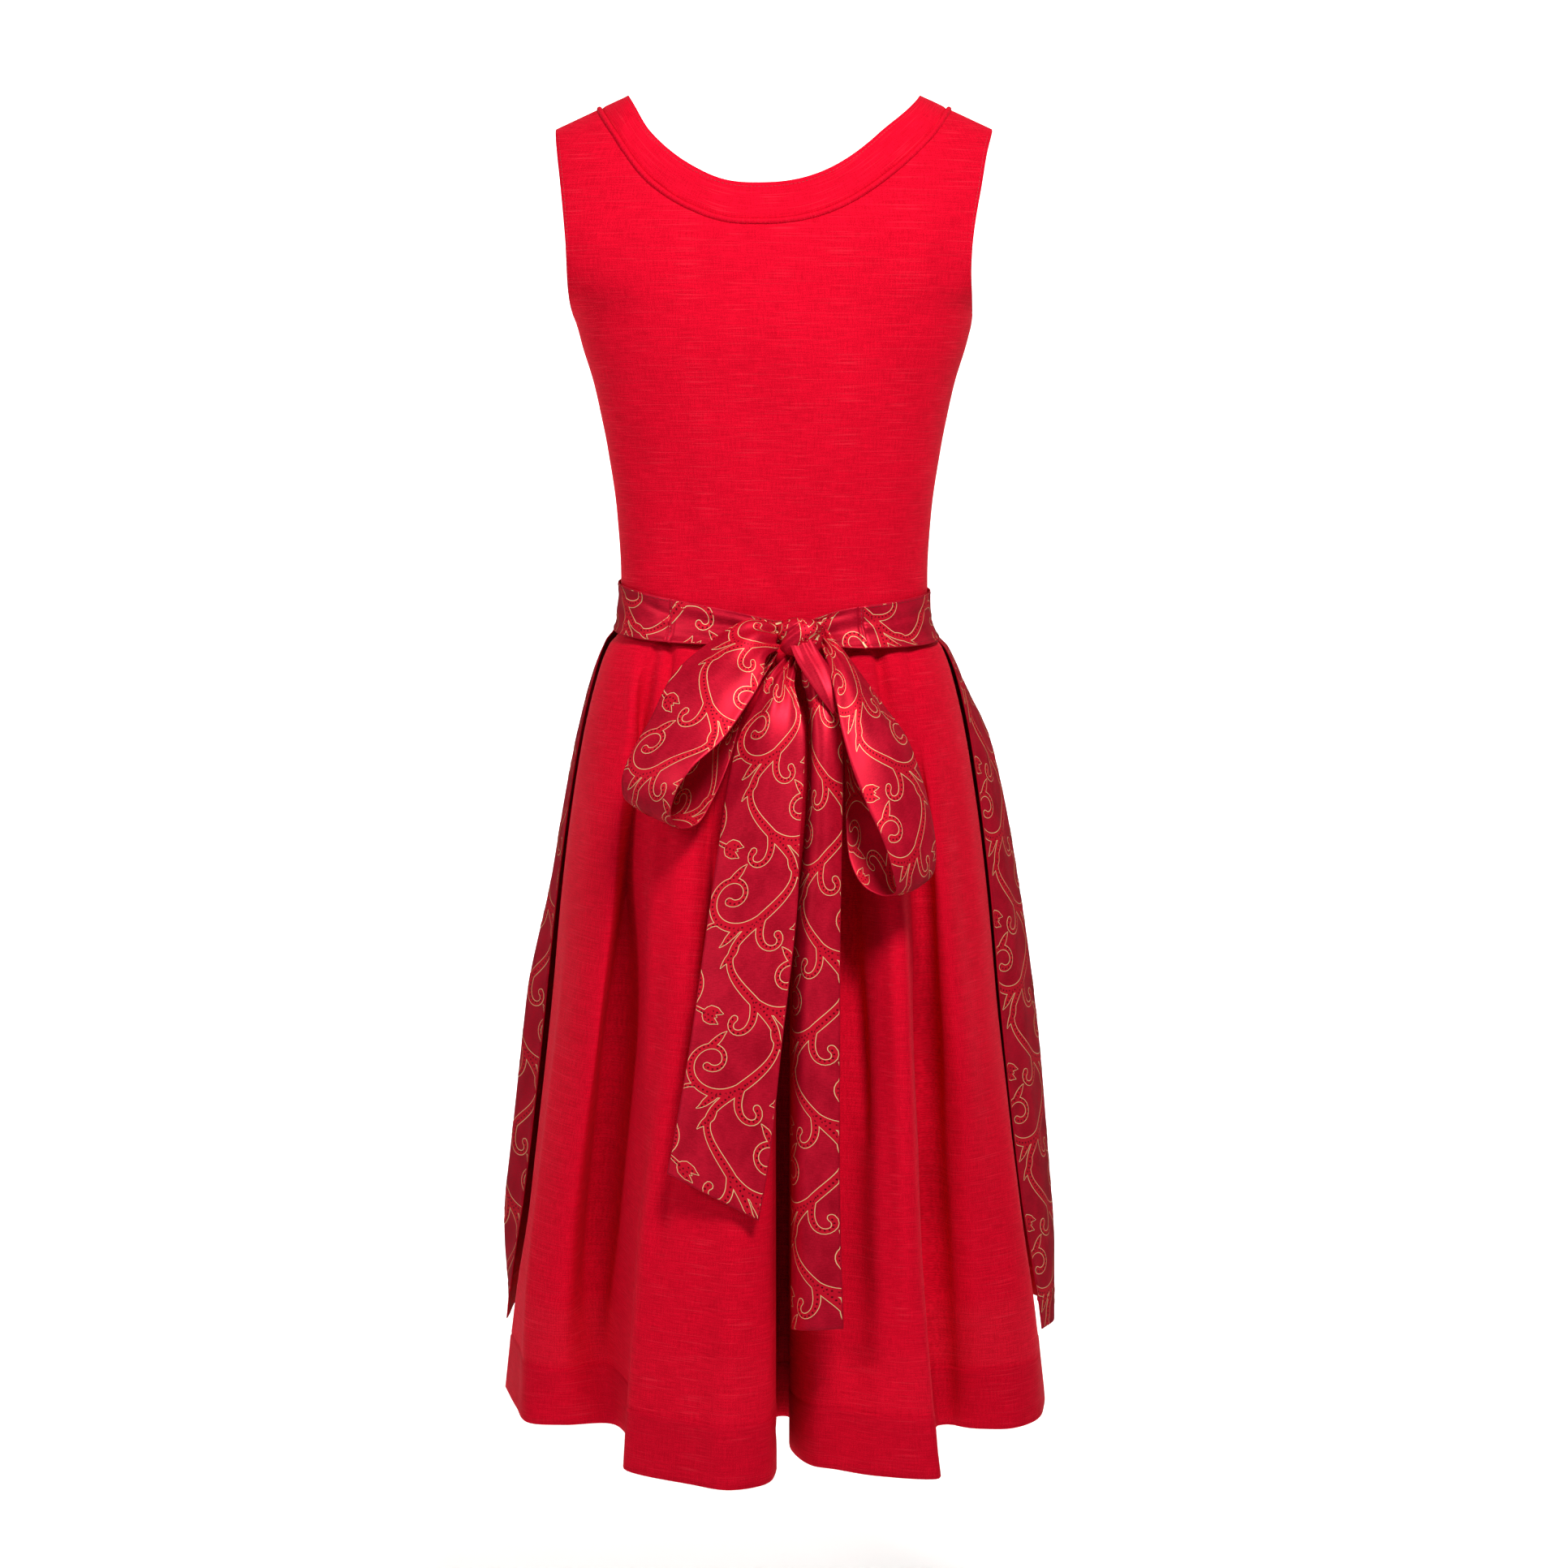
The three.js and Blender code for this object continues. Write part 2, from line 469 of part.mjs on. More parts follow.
// A place { turn, z } on one half of a bodice panel: u runs from the middle to the side seam and
// armhole, v from the waist to the neckband's seam and the shoulder seam.
function bodicePlace(side) {
  const seam = (q) => neckCurve(side, beside(side, q, 1), q);
  const corner = seam(1);
  const tipZ = shoulderHeight(SHOULDER_TIP);
  const tipTurn = bodiceTurn(SHOULDER_TIP, tipZ);
  const topEdge = (u) => {
    const past = (u - NECK_SHARE) / (1 - NECK_SHARE);
    if (past <= 0) return seam(u / NECK_SHARE);
    const x = mix(corner.x, SHOULDER_TIP, past);
    return { x, z: shoulderHeight(x) };
  };
  return (u, v) => {
    const top = topEdge(u);
    const sideZ = mix(BODICE_BOTTOM, tipZ, v);
    const sideTurn = sideZ < UNDERARM_Z ? Math.PI / 2 : bodiceTurn(armhole[side](sideZ), sideZ);
    const pull = (sideTurn - mix(Math.PI / 2, tipTurn, v)) * u ** ARMHOLE_PULL;
    return {
      turn: mix((u * Math.PI) / 2, bodiceTurn(top.x, top.z), v) + pull,
      z: mix(BODICE_BOTTOM, top.z, v),
    };
  };
}

function bodiceHalf(name, side, sign) {
  const placeAt = bodicePlace(side);
  const at = (u, v) => {
    const place = placeAt(u, v);
    const point = bodicePoint(side, place.turn, place.z);
    point.x *= sign;
    return point;
  };
  const trim = (point) => {
    trimTo(side, BODICE_BOTTOM)(point);
    point.x = sign * Math.max(sign * point.x, SEAM_HALF);
  };
  return panel(name, LINEN_RED, HALF_COLUMNS, ALONG_BODICE, at, LINEN, trim);
}

function bodiceBack() {
  const placeAt = bodicePlace('back');
  const at = (u, v) => {
    const place = placeAt(Math.abs(u), v);
    const point = bodicePoint('back', place.turn, place.z);
    point.x *= Math.sign(u);
    return point;
  };
  const across = mirrored(HALF_COLUMNS);
  return panel('bodice_back', LINEN_RED, across, ALONG_BODICE, at, LINEN, trimTo('back', BODICE_BOTTOM));
}

function neckband(name, side, across) {
  const at = (q, share) => neckPoint(side, share * beside(side, q, -1), q);
  return panel(name, LINEN_RED, across, evenly(3), at, LINEN, trimTo(side));
}

// The corded piping in the seam under the neckband, as a closed tube along that seam.
function piping(name, side, along) {
  const sides = PIPING_SIDES;
  const step = 0.01;
  const centres = along.map((q) => {
    const point = neckPoint(side, 1, q);
    const inward = neckPoint(side, beside(side, q, -1), q).sub(neckPoint(side, beside(side, q, 1), q));
    const next = neckPoint(side, 1, Math.min(q + step, 1));
    const onward = next.sub(neckPoint(side, 1, Math.max(q - step, -1)));
    const normal = inward.cross(onward).normalize();
    const away = new THREE.Vector3(point.x, point.y, -NECK_DROP_BACK * SHOULDER_SLOPE - point.z);
    if (normal.dot(away) < 0) normal.negate();
    return { point: point.addScaledVector(normal, PIPING_RISE - LINEN / 2), normal, onward };
  });
  const points = [];
  for (const { point, normal, onward } of centres) {
    const across = normal.clone().cross(onward).normalize();
    for (let k = 0; k < sides; k += 1) {
      const angle = (2 * Math.PI * k) / sides;
      const rim = point.clone()
        .addScaledVector(normal, PIPING_RADIUS * Math.cos(angle))
        .addScaledVector(across, PIPING_RADIUS * Math.sin(angle));
      trimTo(side)(rim);
      points.push(rim);
    }
  }
  const faces = [];
  const ring = (i, k) => i * sides + (k % sides);
  for (let i = 0; i < centres.length - 1; i += 1) {
    for (let k = 0; k < sides; k += 1) {
      faces.push([ring(i, k), ring(i, k + 1), ring(i + 1, k + 1)]);
      faces.push([ring(i, k), ring(i + 1, k + 1), ring(i + 1, k)]);
    }
  }
  const end = centres.length - 1;
  for (let k = 1; k < sides - 1; k += 1) {
    faces.push([ring(0, 0), ring(0, k + 1), ring(0, k)]);
    faces.push([ring(end, 0), ring(end, k), ring(end, k + 1)]);
  }
  return solid(name, LINEN_RED, points, faces);
}

// Moves a piece of the bodice to where it hangs.
function hungAskew(mesh) {
  const neckShift = column(NECK_SHIFT, 'x', 'shift');
  const neckFade = column(NECK_FADE, 'z', 'share');
  const armholeShift = column(ARMHOLE_SHIFT, 'z', 'shift');
  const place = mesh.geometry.attributes.position;
  for (let i = 0; i < place.count; i += 1) {
    const x = place.getX(i);
    const z = place.getZ(i);
    const atArmhole = THREE.MathUtils.smoothstep(x, ARMHOLE_FROM, ARMHOLE_FULLY);
    place.setX(i, x + neckShift(x) * neckFade(z) + armholeShift(z) * atArmhole);
  }
  mesh.geometry.computeVertexNormals();
  return mesh;
}

// ---------------------------------------------------------------- skirt and apron

const HEM_Z = WAIST_Z - SKIRT_LENGTH;
const heightAt = (t) => WAIST_Z - SKIRT_LENGTH * t;
const ALONG_SKIRT = [0, 0.018, 0.034, 0.07, 0.12, 0.19, 0.27, 0.36, 0.46, 0.57, 0.68, 0.79, 0.9, 1];

// A point of the skirt's envelope times a reach, at a turn from centre back.
function skirtPoint(turn, reach, t) {
  const z = heightAt(t);
  const unit = section(turn);
  const squared = Math.min(t / ROUNDS_OUT, 1);
  const round = { x: Math.sin(turn), y: -Math.cos(turn) };
  const depth = Math.cos(turn) > 0 ? skirt.back(z) : skirt.front(z);
  return new THREE.Vector3(
    skirt.half(z) * reach * mix(unit.x, round.x, squared),
    depth * reach * mix(unit.y, round.y, squared),
    z,
  );
}

// A level of the skirt: a smooth plan curve through the places of its folds.
function planCurve(folds, t) {
  const points = folds.map(({ turn, reach }) => skirtPoint(radians(turn(t)), reach(t), t));
  return new THREE.CatmullRomCurve3(points, false, 'centripetal');
}

function foldColumns(folds) {
  const last = folds.length - 1;
  const places = folds.slice(0, last).flatMap((fold, i) => (
    evenly(fold.steps).slice(0, -1).map((part) => (i + part) / last)
  ));
  return [...places, 1];
}

function pleatedPanel(name, material, folds, along, wall, trim, settle = () => {}) {
  const across = foldColumns(folds);
  const curves = new Map(along.map((t) => [t, planCurve(folds, t)]));
  const at = (u, t) => {
    const point = curves.get(t).getPoint(u);
    point.z = heightAt(t);
    settle(point, t);
    return point;
  };
  return panel(name, material, across, along, at, wall, trim);
}

function skirtBack() {
  const folds = BACK_FOLDS.map(({ turn, reach, steps }) => ({
    turn: through(FOLD_LEVELS, turn),
    reach: through(FOLD_LEVELS, reach),
    steps,
  }));
  const trim = trimTo('back', HEM_Z, WAIST_Z);
  return pleatedPanel('skirt_back', LINEN_RED, folds, ALONG_SKIRT, LINEN, trim);
}

function skirtFront() {
  const places = FRONT_FOLDS * 2;
  const sideReach = through(FOLD_LEVELS, SIDE_REACH);
  const folds = evenly(places, 90, 270).map((turn, i) => ({
    turn: () => turn,
    reach: (t) => sideReach(t) - (i % 2) * FRONT_FOLD_DEPTH * uneven(i, 0.2) * Math.min(2 * t, 1),
    steps: 2,
  }));
  const trim = trimTo('front', HEM_Z, WAIST_Z);
  return pleatedPanel('skirt_front', LINEN_RED, folds, ALONG_SKIRT, LINEN, trim);
}

function apron() {
  const row = ({ turn, reach }) => ({
    turn: () => turn,
    reach: through(APRON_LEVELS, reach),
    steps: 2,
  });
  const front = through(APRON_LEVELS, APRON_FRONT);
  const wave = through(APRON_LEVELS, APRON_WAVE_DEPTH);
  const places = APRON_WAVES * 2;
  const gathers = evenly(places, APRON_GATHERS_FROM, APRON_GATHERS_TO).map((turn, i) => ({
    turn: () => turn,
    reach: (t) => front(t) + wave(t) * (i % 2 === 0 ? 1 : -1) * uneven(i, 0.5),
    steps: 2,
  }));
  const folds = [
    row(APRON_RIGHT_EDGE),
    row(APRON_RIGHT_BEND),
    row(APRON_RIGHT_FLARE),
    ...gathers,
    row(APRON_LEFT_FLARE),
    row(APRON_LEFT_EDGE),
  ];
  const topT = (WAIST_Z - sash.bottom(180) + APRON_SEAM) / SKIRT_LENGTH;
  const hemT = (WAIST_Z - APRON_HEM_Z) / SKIRT_LENGTH;
  const along = [topT, ...ALONG_SKIRT.filter((t) => t > topT + 0.005 && t < hemT - 0.03), hemT];
  // The top edge follows the waistband's lower edge, and the level lines even out below it.
  const followBand = (point, t) => {
    const degrees = THREE.MathUtils.radToDeg(Math.atan2(point.x, -point.y));
    const bandZ = sashHeight(degrees, 0) - APRON_SEAM;
    point.z += (bandZ - heightAt(topT)) * clamp(1 - (t - topT) / APRON_EVENS_OUT, 0, 1);
  };
  return pleatedPanel('apron', SATIN_RED, folds, along, SATIN, undefined, followBand);
}

// ---------------------------------------------------------------- waistband and ties

// A point on the satin round the waist, `out` outside the linen.
function sashPoint(turn, z, out) {
  const table = z > WAIST_Z ? body : skirt;
  const unit = section(turn);
  const depth = Math.cos(turn) > 0 ? table.back(z) : table.front(z);
  return new THREE.Vector3((table.half(z) + out) * unit.x, (depth + out) * unit.y, z);
}

// The height of the satin round the waist: share 0 is its lower edge, 1 its upper one.
function sashHeight(degrees, share) {
  const fromMiddle = Math.abs(((degrees + 180) % 360) - 180);
  const tilt = -SASH_TILT * Math.sin(radians(degrees));
  return mix(sash.bottom(fromMiddle), sash.top(fromMiddle), share) + tilt;
}

function apronWaistband() {
  const across = evenly(
    WAISTBAND_COLUMNS,
    TIE_SEAM_RIGHT + TIE_SEAM_TURN,
    360 + TIE_SEAM_LEFT - TIE_SEAM_TURN,
  );
  const at = (degrees, share) => {
    const out = SASH_LIFT + SASH_FLARE * (1 - share) ** 2;
    return sashPoint(radians(degrees), sashHeight(degrees, share), out);
  };
  return panel('apron_waistband', SATIN_RED, across, [0, 0.3, 0.65, 1], at, SATIN);
}

function tie(name, seamTurn, endTurn) {
  const at = (s, share) => {
    const degrees = mix(seamTurn, endTurn, s);
    const narrow = mix(share, 0.5 + (share - 0.5) * TIE_DRAWN_IN, s * s);
    const z = sashHeight(degrees, narrow);
    const out = SASH_LIFT + SASH_FLARE * (1 - share) ** 2 + TIE_LIFT * s ** 3;
    return sashPoint(radians(degrees), z, out);
  };
  return panel(name, SATIN_RED, evenly(8), [0, 0.25, 0.5, 0.75, 1], at, SATIN);
}

// ---------------------------------------------------------------- bow

// A ribbon through its rows of left and right edges, with a rounded cross-section.
function ribbon(name, rows, steps) {
  const edge = (side) => new THREE.CatmullRomCurve3(
    rows.map((row) => new THREE.Vector3(row[`${side}x`], row[`${side}y`], row[`${side}z`])),
    false,
    'centripetal',
  );
  const left = edge('l');
  const right = edge('r');
  const cup = through(evenly(rows.length - 1), rows.map((row) => row.cup));
  const lines = evenly(steps).map((s) => ({ s, a: left.getPoint(s), b: right.getPoint(s) }));
  const grid = lines.map(({ s, a, b }, i) => {
    const before = lines[Math.max(i - 1, 0)];
    const after = lines[Math.min(i + 1, lines.length - 1)];
    const onward = after.a.clone().add(after.b).sub(before.a).sub(before.b);
    const normal = onward.cross(b.clone().sub(a)).normalize();
    return evenly(RIBBON_COLUMNS).map((w) => {
      const bulge = 4 * w * (1 - w) * cup(s);
      return a.clone().lerp(b, w).addScaledVector(normal, bulge);
    });
  });
  return wallFromGrid(name, SATIN_RED, grid, SATIN / 2, SATIN / 2);
}

// The knot: a rounded solid wound with a few diagonal folds.
function bowKnot() {
  const around = 20;
  const levels = 10;
  const points = [new THREE.Vector3(KNOT.x, KNOT.y, KNOT.z + KNOT.height)];
  for (let i = 1; i < levels; i += 1) {
    const tilt = (Math.PI * i) / levels;
    for (let k = 0; k < around; k += 1) {
      const turn = (2 * Math.PI * k) / around;
      const unit = section(turn);
      const wave = Math.cos(KNOT_FOLDS * (tilt + turn / KNOT_FOLD_SLANT));
      const girth = Math.sin(tilt) ** KNOT_FULLNESS * (1 + KNOT_FOLD_DEPTH * wave * Math.sin(tilt));
      points.push(new THREE.Vector3(
        KNOT.x + KNOT.half * girth * unit.x,
        KNOT.y + KNOT.depth * girth * unit.y,
        KNOT.z + KNOT.height * Math.cos(tilt),
      ));
    }
  }
  points.push(new THREE.Vector3(KNOT.x, KNOT.y, KNOT.z - KNOT.height));
  const faces = [];
  const ring = (i, k) => 1 + (i - 1) * around + (k % around);
  for (let k = 0; k < around; k += 1) {
    faces.push([0, ring(1, k), ring(1, k + 1)]);
    faces.push([points.length - 1, ring(levels - 1, k + 1), ring(levels - 1, k)]);
    for (let i = 1; i < levels - 1; i += 1) {
      faces.push([ring(i, k), ring(i + 1, k), ring(i + 1, k + 1)]);
      faces.push([ring(i, k), ring(i + 1, k + 1), ring(i, k + 1)]);
    }
  }
  return solid('bow_knot', SATIN_RED, points, faces);
}

// ---------------------------------------------------------------- the dirndl

const dirndl = new THREE.Group();
const bothSides = mirrored(NECK_PLACES);
const rightSide = NECK_PLACES.map((q) => Math.max(q, 0.0015));
const leftSide = rightSide.map((q) => -q);

const bodice = [
  bodiceBack(),
  bodiceHalf('bodice_front_left', 'front', -1),
  bodiceHalf('bodice_front_right', 'front', 1),
  neckband('neckband_back', 'back', bothSides),
  neckband('neckband_front_left', 'front', leftSide),
  neckband('neckband_front_right', 'front', rightSide),
  piping('neck_piping_back', 'back', bothSides),
  piping('neck_piping_front_left', 'front', leftSide),
  piping('neck_piping_front_right', 'front', rightSide),
];

dirndl.add(
  ...bodice.map(hungAskew),
  skirtBack(),
  skirtFront(),
  apron(),
  apronWaistband(),
  tie('tie_left', TIE_SEAM_LEFT + TIE_SEAM_TURN, TIE_END_LEFT),
  tie('tie_right', TIE_SEAM_RIGHT - TIE_SEAM_TURN, TIE_END_RIGHT),
  bowKnot(),
  ribbon('bow_loop_left', LOOP_LEFT_ROWS, 26),
  ribbon('bow_loop_right', LOOP_RIGHT_ROWS, 30),
  ribbon('bow_tail_left', TAIL_LEFT_ROWS, 18),
  ribbon('bow_tail_right', TAIL_RIGHT_ROWS, 18),
);

export default dirndl;
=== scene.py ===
"""A sleeveless red linen dirndl with a satin apron tied in a bow at the back of the waist.

Every cloth is worked out from tables of sizes in millimetres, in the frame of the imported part, and
laid on a fine grid that carries its own flat coordinates: how far a point lies across and along
the cloth. Weave, ornament, seams and hems are all drawn in those coordinates.
"""

import math

import bpy
import numpy as np
from bpy.props import FloatProperty, FloatVectorProperty, PointerProperty
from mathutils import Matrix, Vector


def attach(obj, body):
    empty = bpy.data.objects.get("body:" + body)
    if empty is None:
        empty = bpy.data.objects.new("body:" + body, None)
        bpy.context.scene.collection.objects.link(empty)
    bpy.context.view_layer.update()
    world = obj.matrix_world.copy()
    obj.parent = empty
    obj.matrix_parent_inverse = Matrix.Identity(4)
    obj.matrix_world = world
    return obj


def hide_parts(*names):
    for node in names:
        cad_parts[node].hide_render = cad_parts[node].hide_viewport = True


bl_info = {
    "name": "Dirndl",
    "version": (1, 0, 0),
    "blender": (4, 5, 0),
    "location": "View3D > Sidebar > Dirndl",
    "description": "Linen dirndl with a satin apron and a bow, built from its cut and its folds",
    "category": "Add Mesh",
}

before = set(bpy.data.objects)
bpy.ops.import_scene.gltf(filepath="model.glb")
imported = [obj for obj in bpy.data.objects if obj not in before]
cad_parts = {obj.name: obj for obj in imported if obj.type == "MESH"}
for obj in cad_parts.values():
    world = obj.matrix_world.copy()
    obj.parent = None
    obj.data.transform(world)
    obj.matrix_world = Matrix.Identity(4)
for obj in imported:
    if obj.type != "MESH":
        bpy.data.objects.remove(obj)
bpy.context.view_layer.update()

MM = 0.001

# ---------------------------------------------------------------- sizes of the cut, millimetres

WAIST_Z = -425.0
SKIRT_LENGTH = 655.5
APRON_HEM_Z = -1029.0
SQUARENESS = 2.4
NECK_HALF = 118.5
NECK_POWER = 2.55
NECK_DROP = {"back": 75.0, "front": 165.0}
BAND_SIDE = 23.5
BAND_MIDDLE = 30.0
SHOULDER_SLOPE = 0.46
SHOULDER_TIP = 177.0
SHOULDER_ROLL = 70.0
UNDERARM_Z = -178.0
PIPING_RISE = 0.5
PIPING_SIDES = 12
BAND_SLANT = 0.7
ARMHOLE_PULL = 6
NECK_SHARE = 0.8
TO_SHOULDER = 1.25            # how much closer the places lie towards the shoulder
SHOULDER_GAP = 0.15           # from the shoulder seam to each of its two cloths
ROUNDS_OUT = 0.35
SKIRT_HEM = 47.0
APRON_HEM = 26.0

# Worn bodice: height, half width, depth behind and before the side seams.
BODY_ROWS = (
    (0, 200, 92, 74), (-75, 200, 97, 84), (-120, 199, 106, 102), (-150, 188, 108, 114),
    (-178, 164, 108, 123), (-205, 156, 106, 129), (-231, 148, 102, 128), (-258, 142, 97.5, 121),
    (-284, 137, 93, 112), (-337, 129.5, 86, 99), (-390, 126.5, 82, 92), (-425, 126.5, 83, 93),
)
# Skirt envelope: height, half width, depth behind and before.
SKIRT_ROWS = (
    (-425, 126.5, 83, 93), (-437, 130.5, 87, 97), (-447, 138.5, 94, 103), (-471, 147.5, 110, 115),
    (-531, 161, 135, 133), (-646, 177, 165, 152), (-761, 188, 190, 168), (-916, 206, 220, 190),
    (-1000, 219.5, 235, 202), (-1081, 229, 250, 213),
)
# Armhole edge: height, half width of the back's edge and of the front's.
ARMHOLE_ROWS = (
    (-27.5, 177, 176), (-46, 174.5, 166), (-72, 171, 156), (-100, 168, 149), (-126, 166, 147),
    (-151, 165.5, 152), (-166, 165, 159), (-178, 163.9, 163.9),
)
# The worn bodice hangs a little askew: place across it and how far it lies to the side there, the
# share of that at each height, and the same shift by height for the right armhole.
NECK_SHIFT = (
    (-125, 0), (-90, -4.5), (-60, -4), (-25, -9), (0, -13), (25, -14), (60, -12.5), (90, -9.5),
    (125, 0),
)
NECK_FADE = ((-250, 0), (-120, 1), (-34, 1), (-5, 0))
ARMHOLE_SHIFT = (
    (-185, 0), (-165, -5.5), (-140, -8), (-105, -7), (-75, -4.7), (-50, -3.4), (-27, 0),
)
ARMHOLE_FROM = 100.0
ARMHOLE_FULLY = 160.0
FOLD_LEVELS = (0, 0.28, 0.5, 0.75, 1)
SIDE_REACH = (0.985, 1, 1, 1, 1)
# Folds of the back skirt, left side seam to right: turns in degrees, then reaches, at FOLD_LEVELS.
BACK_FOLDS = (
    ((-90, -90, -90, -90, -90), SIDE_REACH, 2),
    ((-76, -77, -78, -79, -76), (0.99, 1, 0.99, 0.98, 0.967), 2),
    ((-60, -64.9, -69.6, -71.2, -66), (0.985, 0.995, 1.008, 1.015, 0.966), 2),
    ((-46, -46.5, -50.5, -58.8, -61), (0.985, 0.999, 0.977, 0.93, 0.859), 2),
    ((-43, -52.2, -60.3, -67.8, -55.8), (0.95, 0.852, 0.793, 0.77, 0.713), 2),
    ((-38, -40.5, -42.2, -47.6, -42), (0.97, 0.938, 0.875, 0.808, 0.764), 2),
    ((-24, -29.4, -31.7, -35.5, -32.9), (0.985, 1.011, 0.955, 0.92, 0.901), 1),
    ((-18, -24, -25.9, -30.5, -30.8), (0.99, 1.051, 1.016, 1.002, 1.006), 2),
    ((-9, -9, -11, -15.5, -15.9), (0.99, 1.02, 1.03, 1.04, 1.048), 2),
    ((-4, -4, -5, -7.5, -7.9), (0.99, 1.02, 1.04, 1.06, 1.074), 2),
    ((-0.8, -0.8, -1, -1.3, -1.5), (0.985, 1, 1, 1, 1.008), 1),
    ((0.5, 0.45, 0.4, 0.35, 0.3), (0.97, 0.94, 0.91, 0.9, 0.904), 2),
    ((1.1, 1.2, 1.3, 1.4, 1.5), (0.82, 0.62, 0.5, 0.38, 0.33), 1),
    ((6.2, 7, 7.5, 8, 8.4), (0.82, 0.62, 0.5, 0.38, 0.33), 2),
    ((5.6, 5.4, 5.3, 5.2, 5.2), (0.97, 0.9, 0.82, 0.74, 0.679), 2),
    ((8, 8.8, 9.9, 9.9, 9), (0.99, 0.983, 0.928, 0.872, 0.839), 2),
    ((10.5, 24.8, 19.7, 16.1, 13.6), (0.95, 0.853, 0.858, 0.908, 0.889), 2),
    ((13, 29, 25.7, 23, 20.6), (0.985, 1, 1.009, 1.042, 0.992), 2),
    ((15.5, 33.5, 29.9, 29.5, 30.8), (0.99, 1.024, 1.115, 1.112, 1.109), 1),
    ((18, 39.5, 36.6, 37.2, 34.3), (0.97, 0.958, 0.993, 0.97, 0.984), 2),
    ((34, 49.7, 53.4, 58.4, 54.4), (0.95, 0.867, 0.819, 0.763, 0.742), 2),
    ((45, 50.4, 54.9, 61.7, 58), (0.98, 0.979, 0.96, 0.882, 0.86), 2),
    ((57, 60.9, 67.3, 69.4, 61.9), (0.99, 0.984, 0.99, 0.954, 0.96), 2),
    ((67, 70, 76, 78, 69), (0.99, 1, 1, 1.01, 1.012), 2),
    ((79, 80, 83, 84, 79), (1, 1, 1, 1, 1.004), 2),
    ((90, 90, 90, 90, 90), SIDE_REACH, 0),
)
FRONT_FOLD_DEPTH = 0.035
FRONT_FOLDS = 7
APRON_LEVELS = (0.018, 0.07, 0.165, 0.335, 0.51, 0.75, 0.922)
APRON_RIGHT = (
    (89.2, (1.026, 1.025, 1.022, 1.018, 1.016, 1.016, 1.017)),
    (97, (1.04, 1.052, 1.105, 1.131, 1.145, 1.132, 1.085)),
    (107, (1.05, 1.07, 1.165, 1.21, 1.235, 1.2, 1.12)),
)
APRON_LEFT = (
    (254, (1.02, 1.05, 1.07, 1.105, 1.175, 1.165, 1.06)),
    (262, (1.018, 1.022, 1.028, 1.038, 1.048, 1.048, 1.04)),
)
APRON_FRONT = (1.032, 1.045, 1.07, 1.09, 1.1, 1.1, 1.1)
APRON_WAVES = 8
APRON_WAVE_DEPTH = (0, 0.012, 0.02, 0.026, 0.03, 0.034, 0.036)
APRON_GATHERS = (118.0, 242.0)
APRON_SEAM = 0.8
APRON_EVENS_OUT = 0.06
PLAIN_EDGE = 26.0             # along the free edges of the apron, without gathers
PLEATS_FADE = 42.0            # how far below the band the pleats are down to a third
SASH_LIFT = 2.5
SASH_FLARE = 1.6
SASH_TILT = 3.6
# Satin round the waist: turn from centre back, upper edge, lower edge.
SASH_ROWS = (
    (0, -417, -441), (20, -411.5, -441), (40, -406, -440.5), (65, -400.5, -438.5),
    (90, -398, -436), (180, -396, -436),
)
TIE_SEAM = {"left": -38.0, "right": 32.0}
TIE_END = {"left": 2.6, "right": 13.05}
TIE_LIFT = 12.0
TIE_DRAWN_IN = 0.72
KNOT = {"x": 21.0, "y": -112.0, "z": -432.0, "half": 17.0, "depth": 14.0, "height": 15.5}

# Ribbons of the bow: left edge x y z, right edge x y z, and how far the middle bulges.
LOOP_LEFT = (
    (1, -100, -422, 3.4, -117, -441, 0), (-22, -108, -419, -6, -132, -446, 3),
    (-54, -117, -438, -9, -149, -461, 5), (-80, -131, -461, -24, -166, -485, 6),
    (-97, -145, -494, -42, -182, -508, 5), (-112, -156, -520, -63, -194, -526, 4),
    (-119, -161, -541, -76, -197, -546, 3), (-116, -156, -557, -80, -191, -564, 3),
    (-106, -147, -559, -73, -178, -576, 3), (-95, -141, -551, -60, -167, -574, 3),
    (-82, -136, -534, -49, -158, -558, 2), (-62, -129, -505, -37, -148, -532, 1),
    (-34, -115, -468, -22, -127, -487, 0), (-2, -104, -438, 3.2, -112, -445, 0),
)
LOOP_RIGHT = (
    (38.5, -116, -441, 41, -102, -426, 0), (44, -138, -457, 54, -110, -441, 3),
    (49, -158, -478, 69, -118, -461, 6), (54, -172, -503, 87, -128, -485, 8),
    (62, -183, -530, 104, -140, -508, 8), (73, -192, -557, 116, -151, -539, 7),
    (85, -199, -583, 124, -162, -571, 6), (93, -200, -609, 127, -168, -598, 5),
    (95, -194, -624, 124, -166, -615, 4), (86, -186, -628, 117, -161, -616, 4),
    (71, -179, -622, 106, -157, -604, 3), (60, -166, -603, 96, -148, -580, 2),
    (56.5, -151, -567, 84, -140, -548, 1), (55, -135, -521, 70, -128, -505, 0),
    (47, -118, -468, 55, -111, -458, 0), (38, -110, -446, 41, -102.5, -437, 0),
)
TAIL_LEFT = (
    (9, -112, -447.6, 20, -113, -448.4, 0), (-7, -131, -465, 16, -132, -467, 2),
    (-15, -143, -484, 20, -144, -484, 4), (-27, -151, -507, 24, -153, -505, 5),
    (-36, -157, -545, 23.5, -162, -543, 5), (-43, -164, -590, 20.5, -172, -584, 5),
    (-51, -172, -645, 18, -183, -640, 4), (-65, -193, -743, 6, -207, -743, 3),
    (-77, -207, -812, -4, -225, -832, 3), (-83, -214, -843, -12, -235, -875, 3),
)
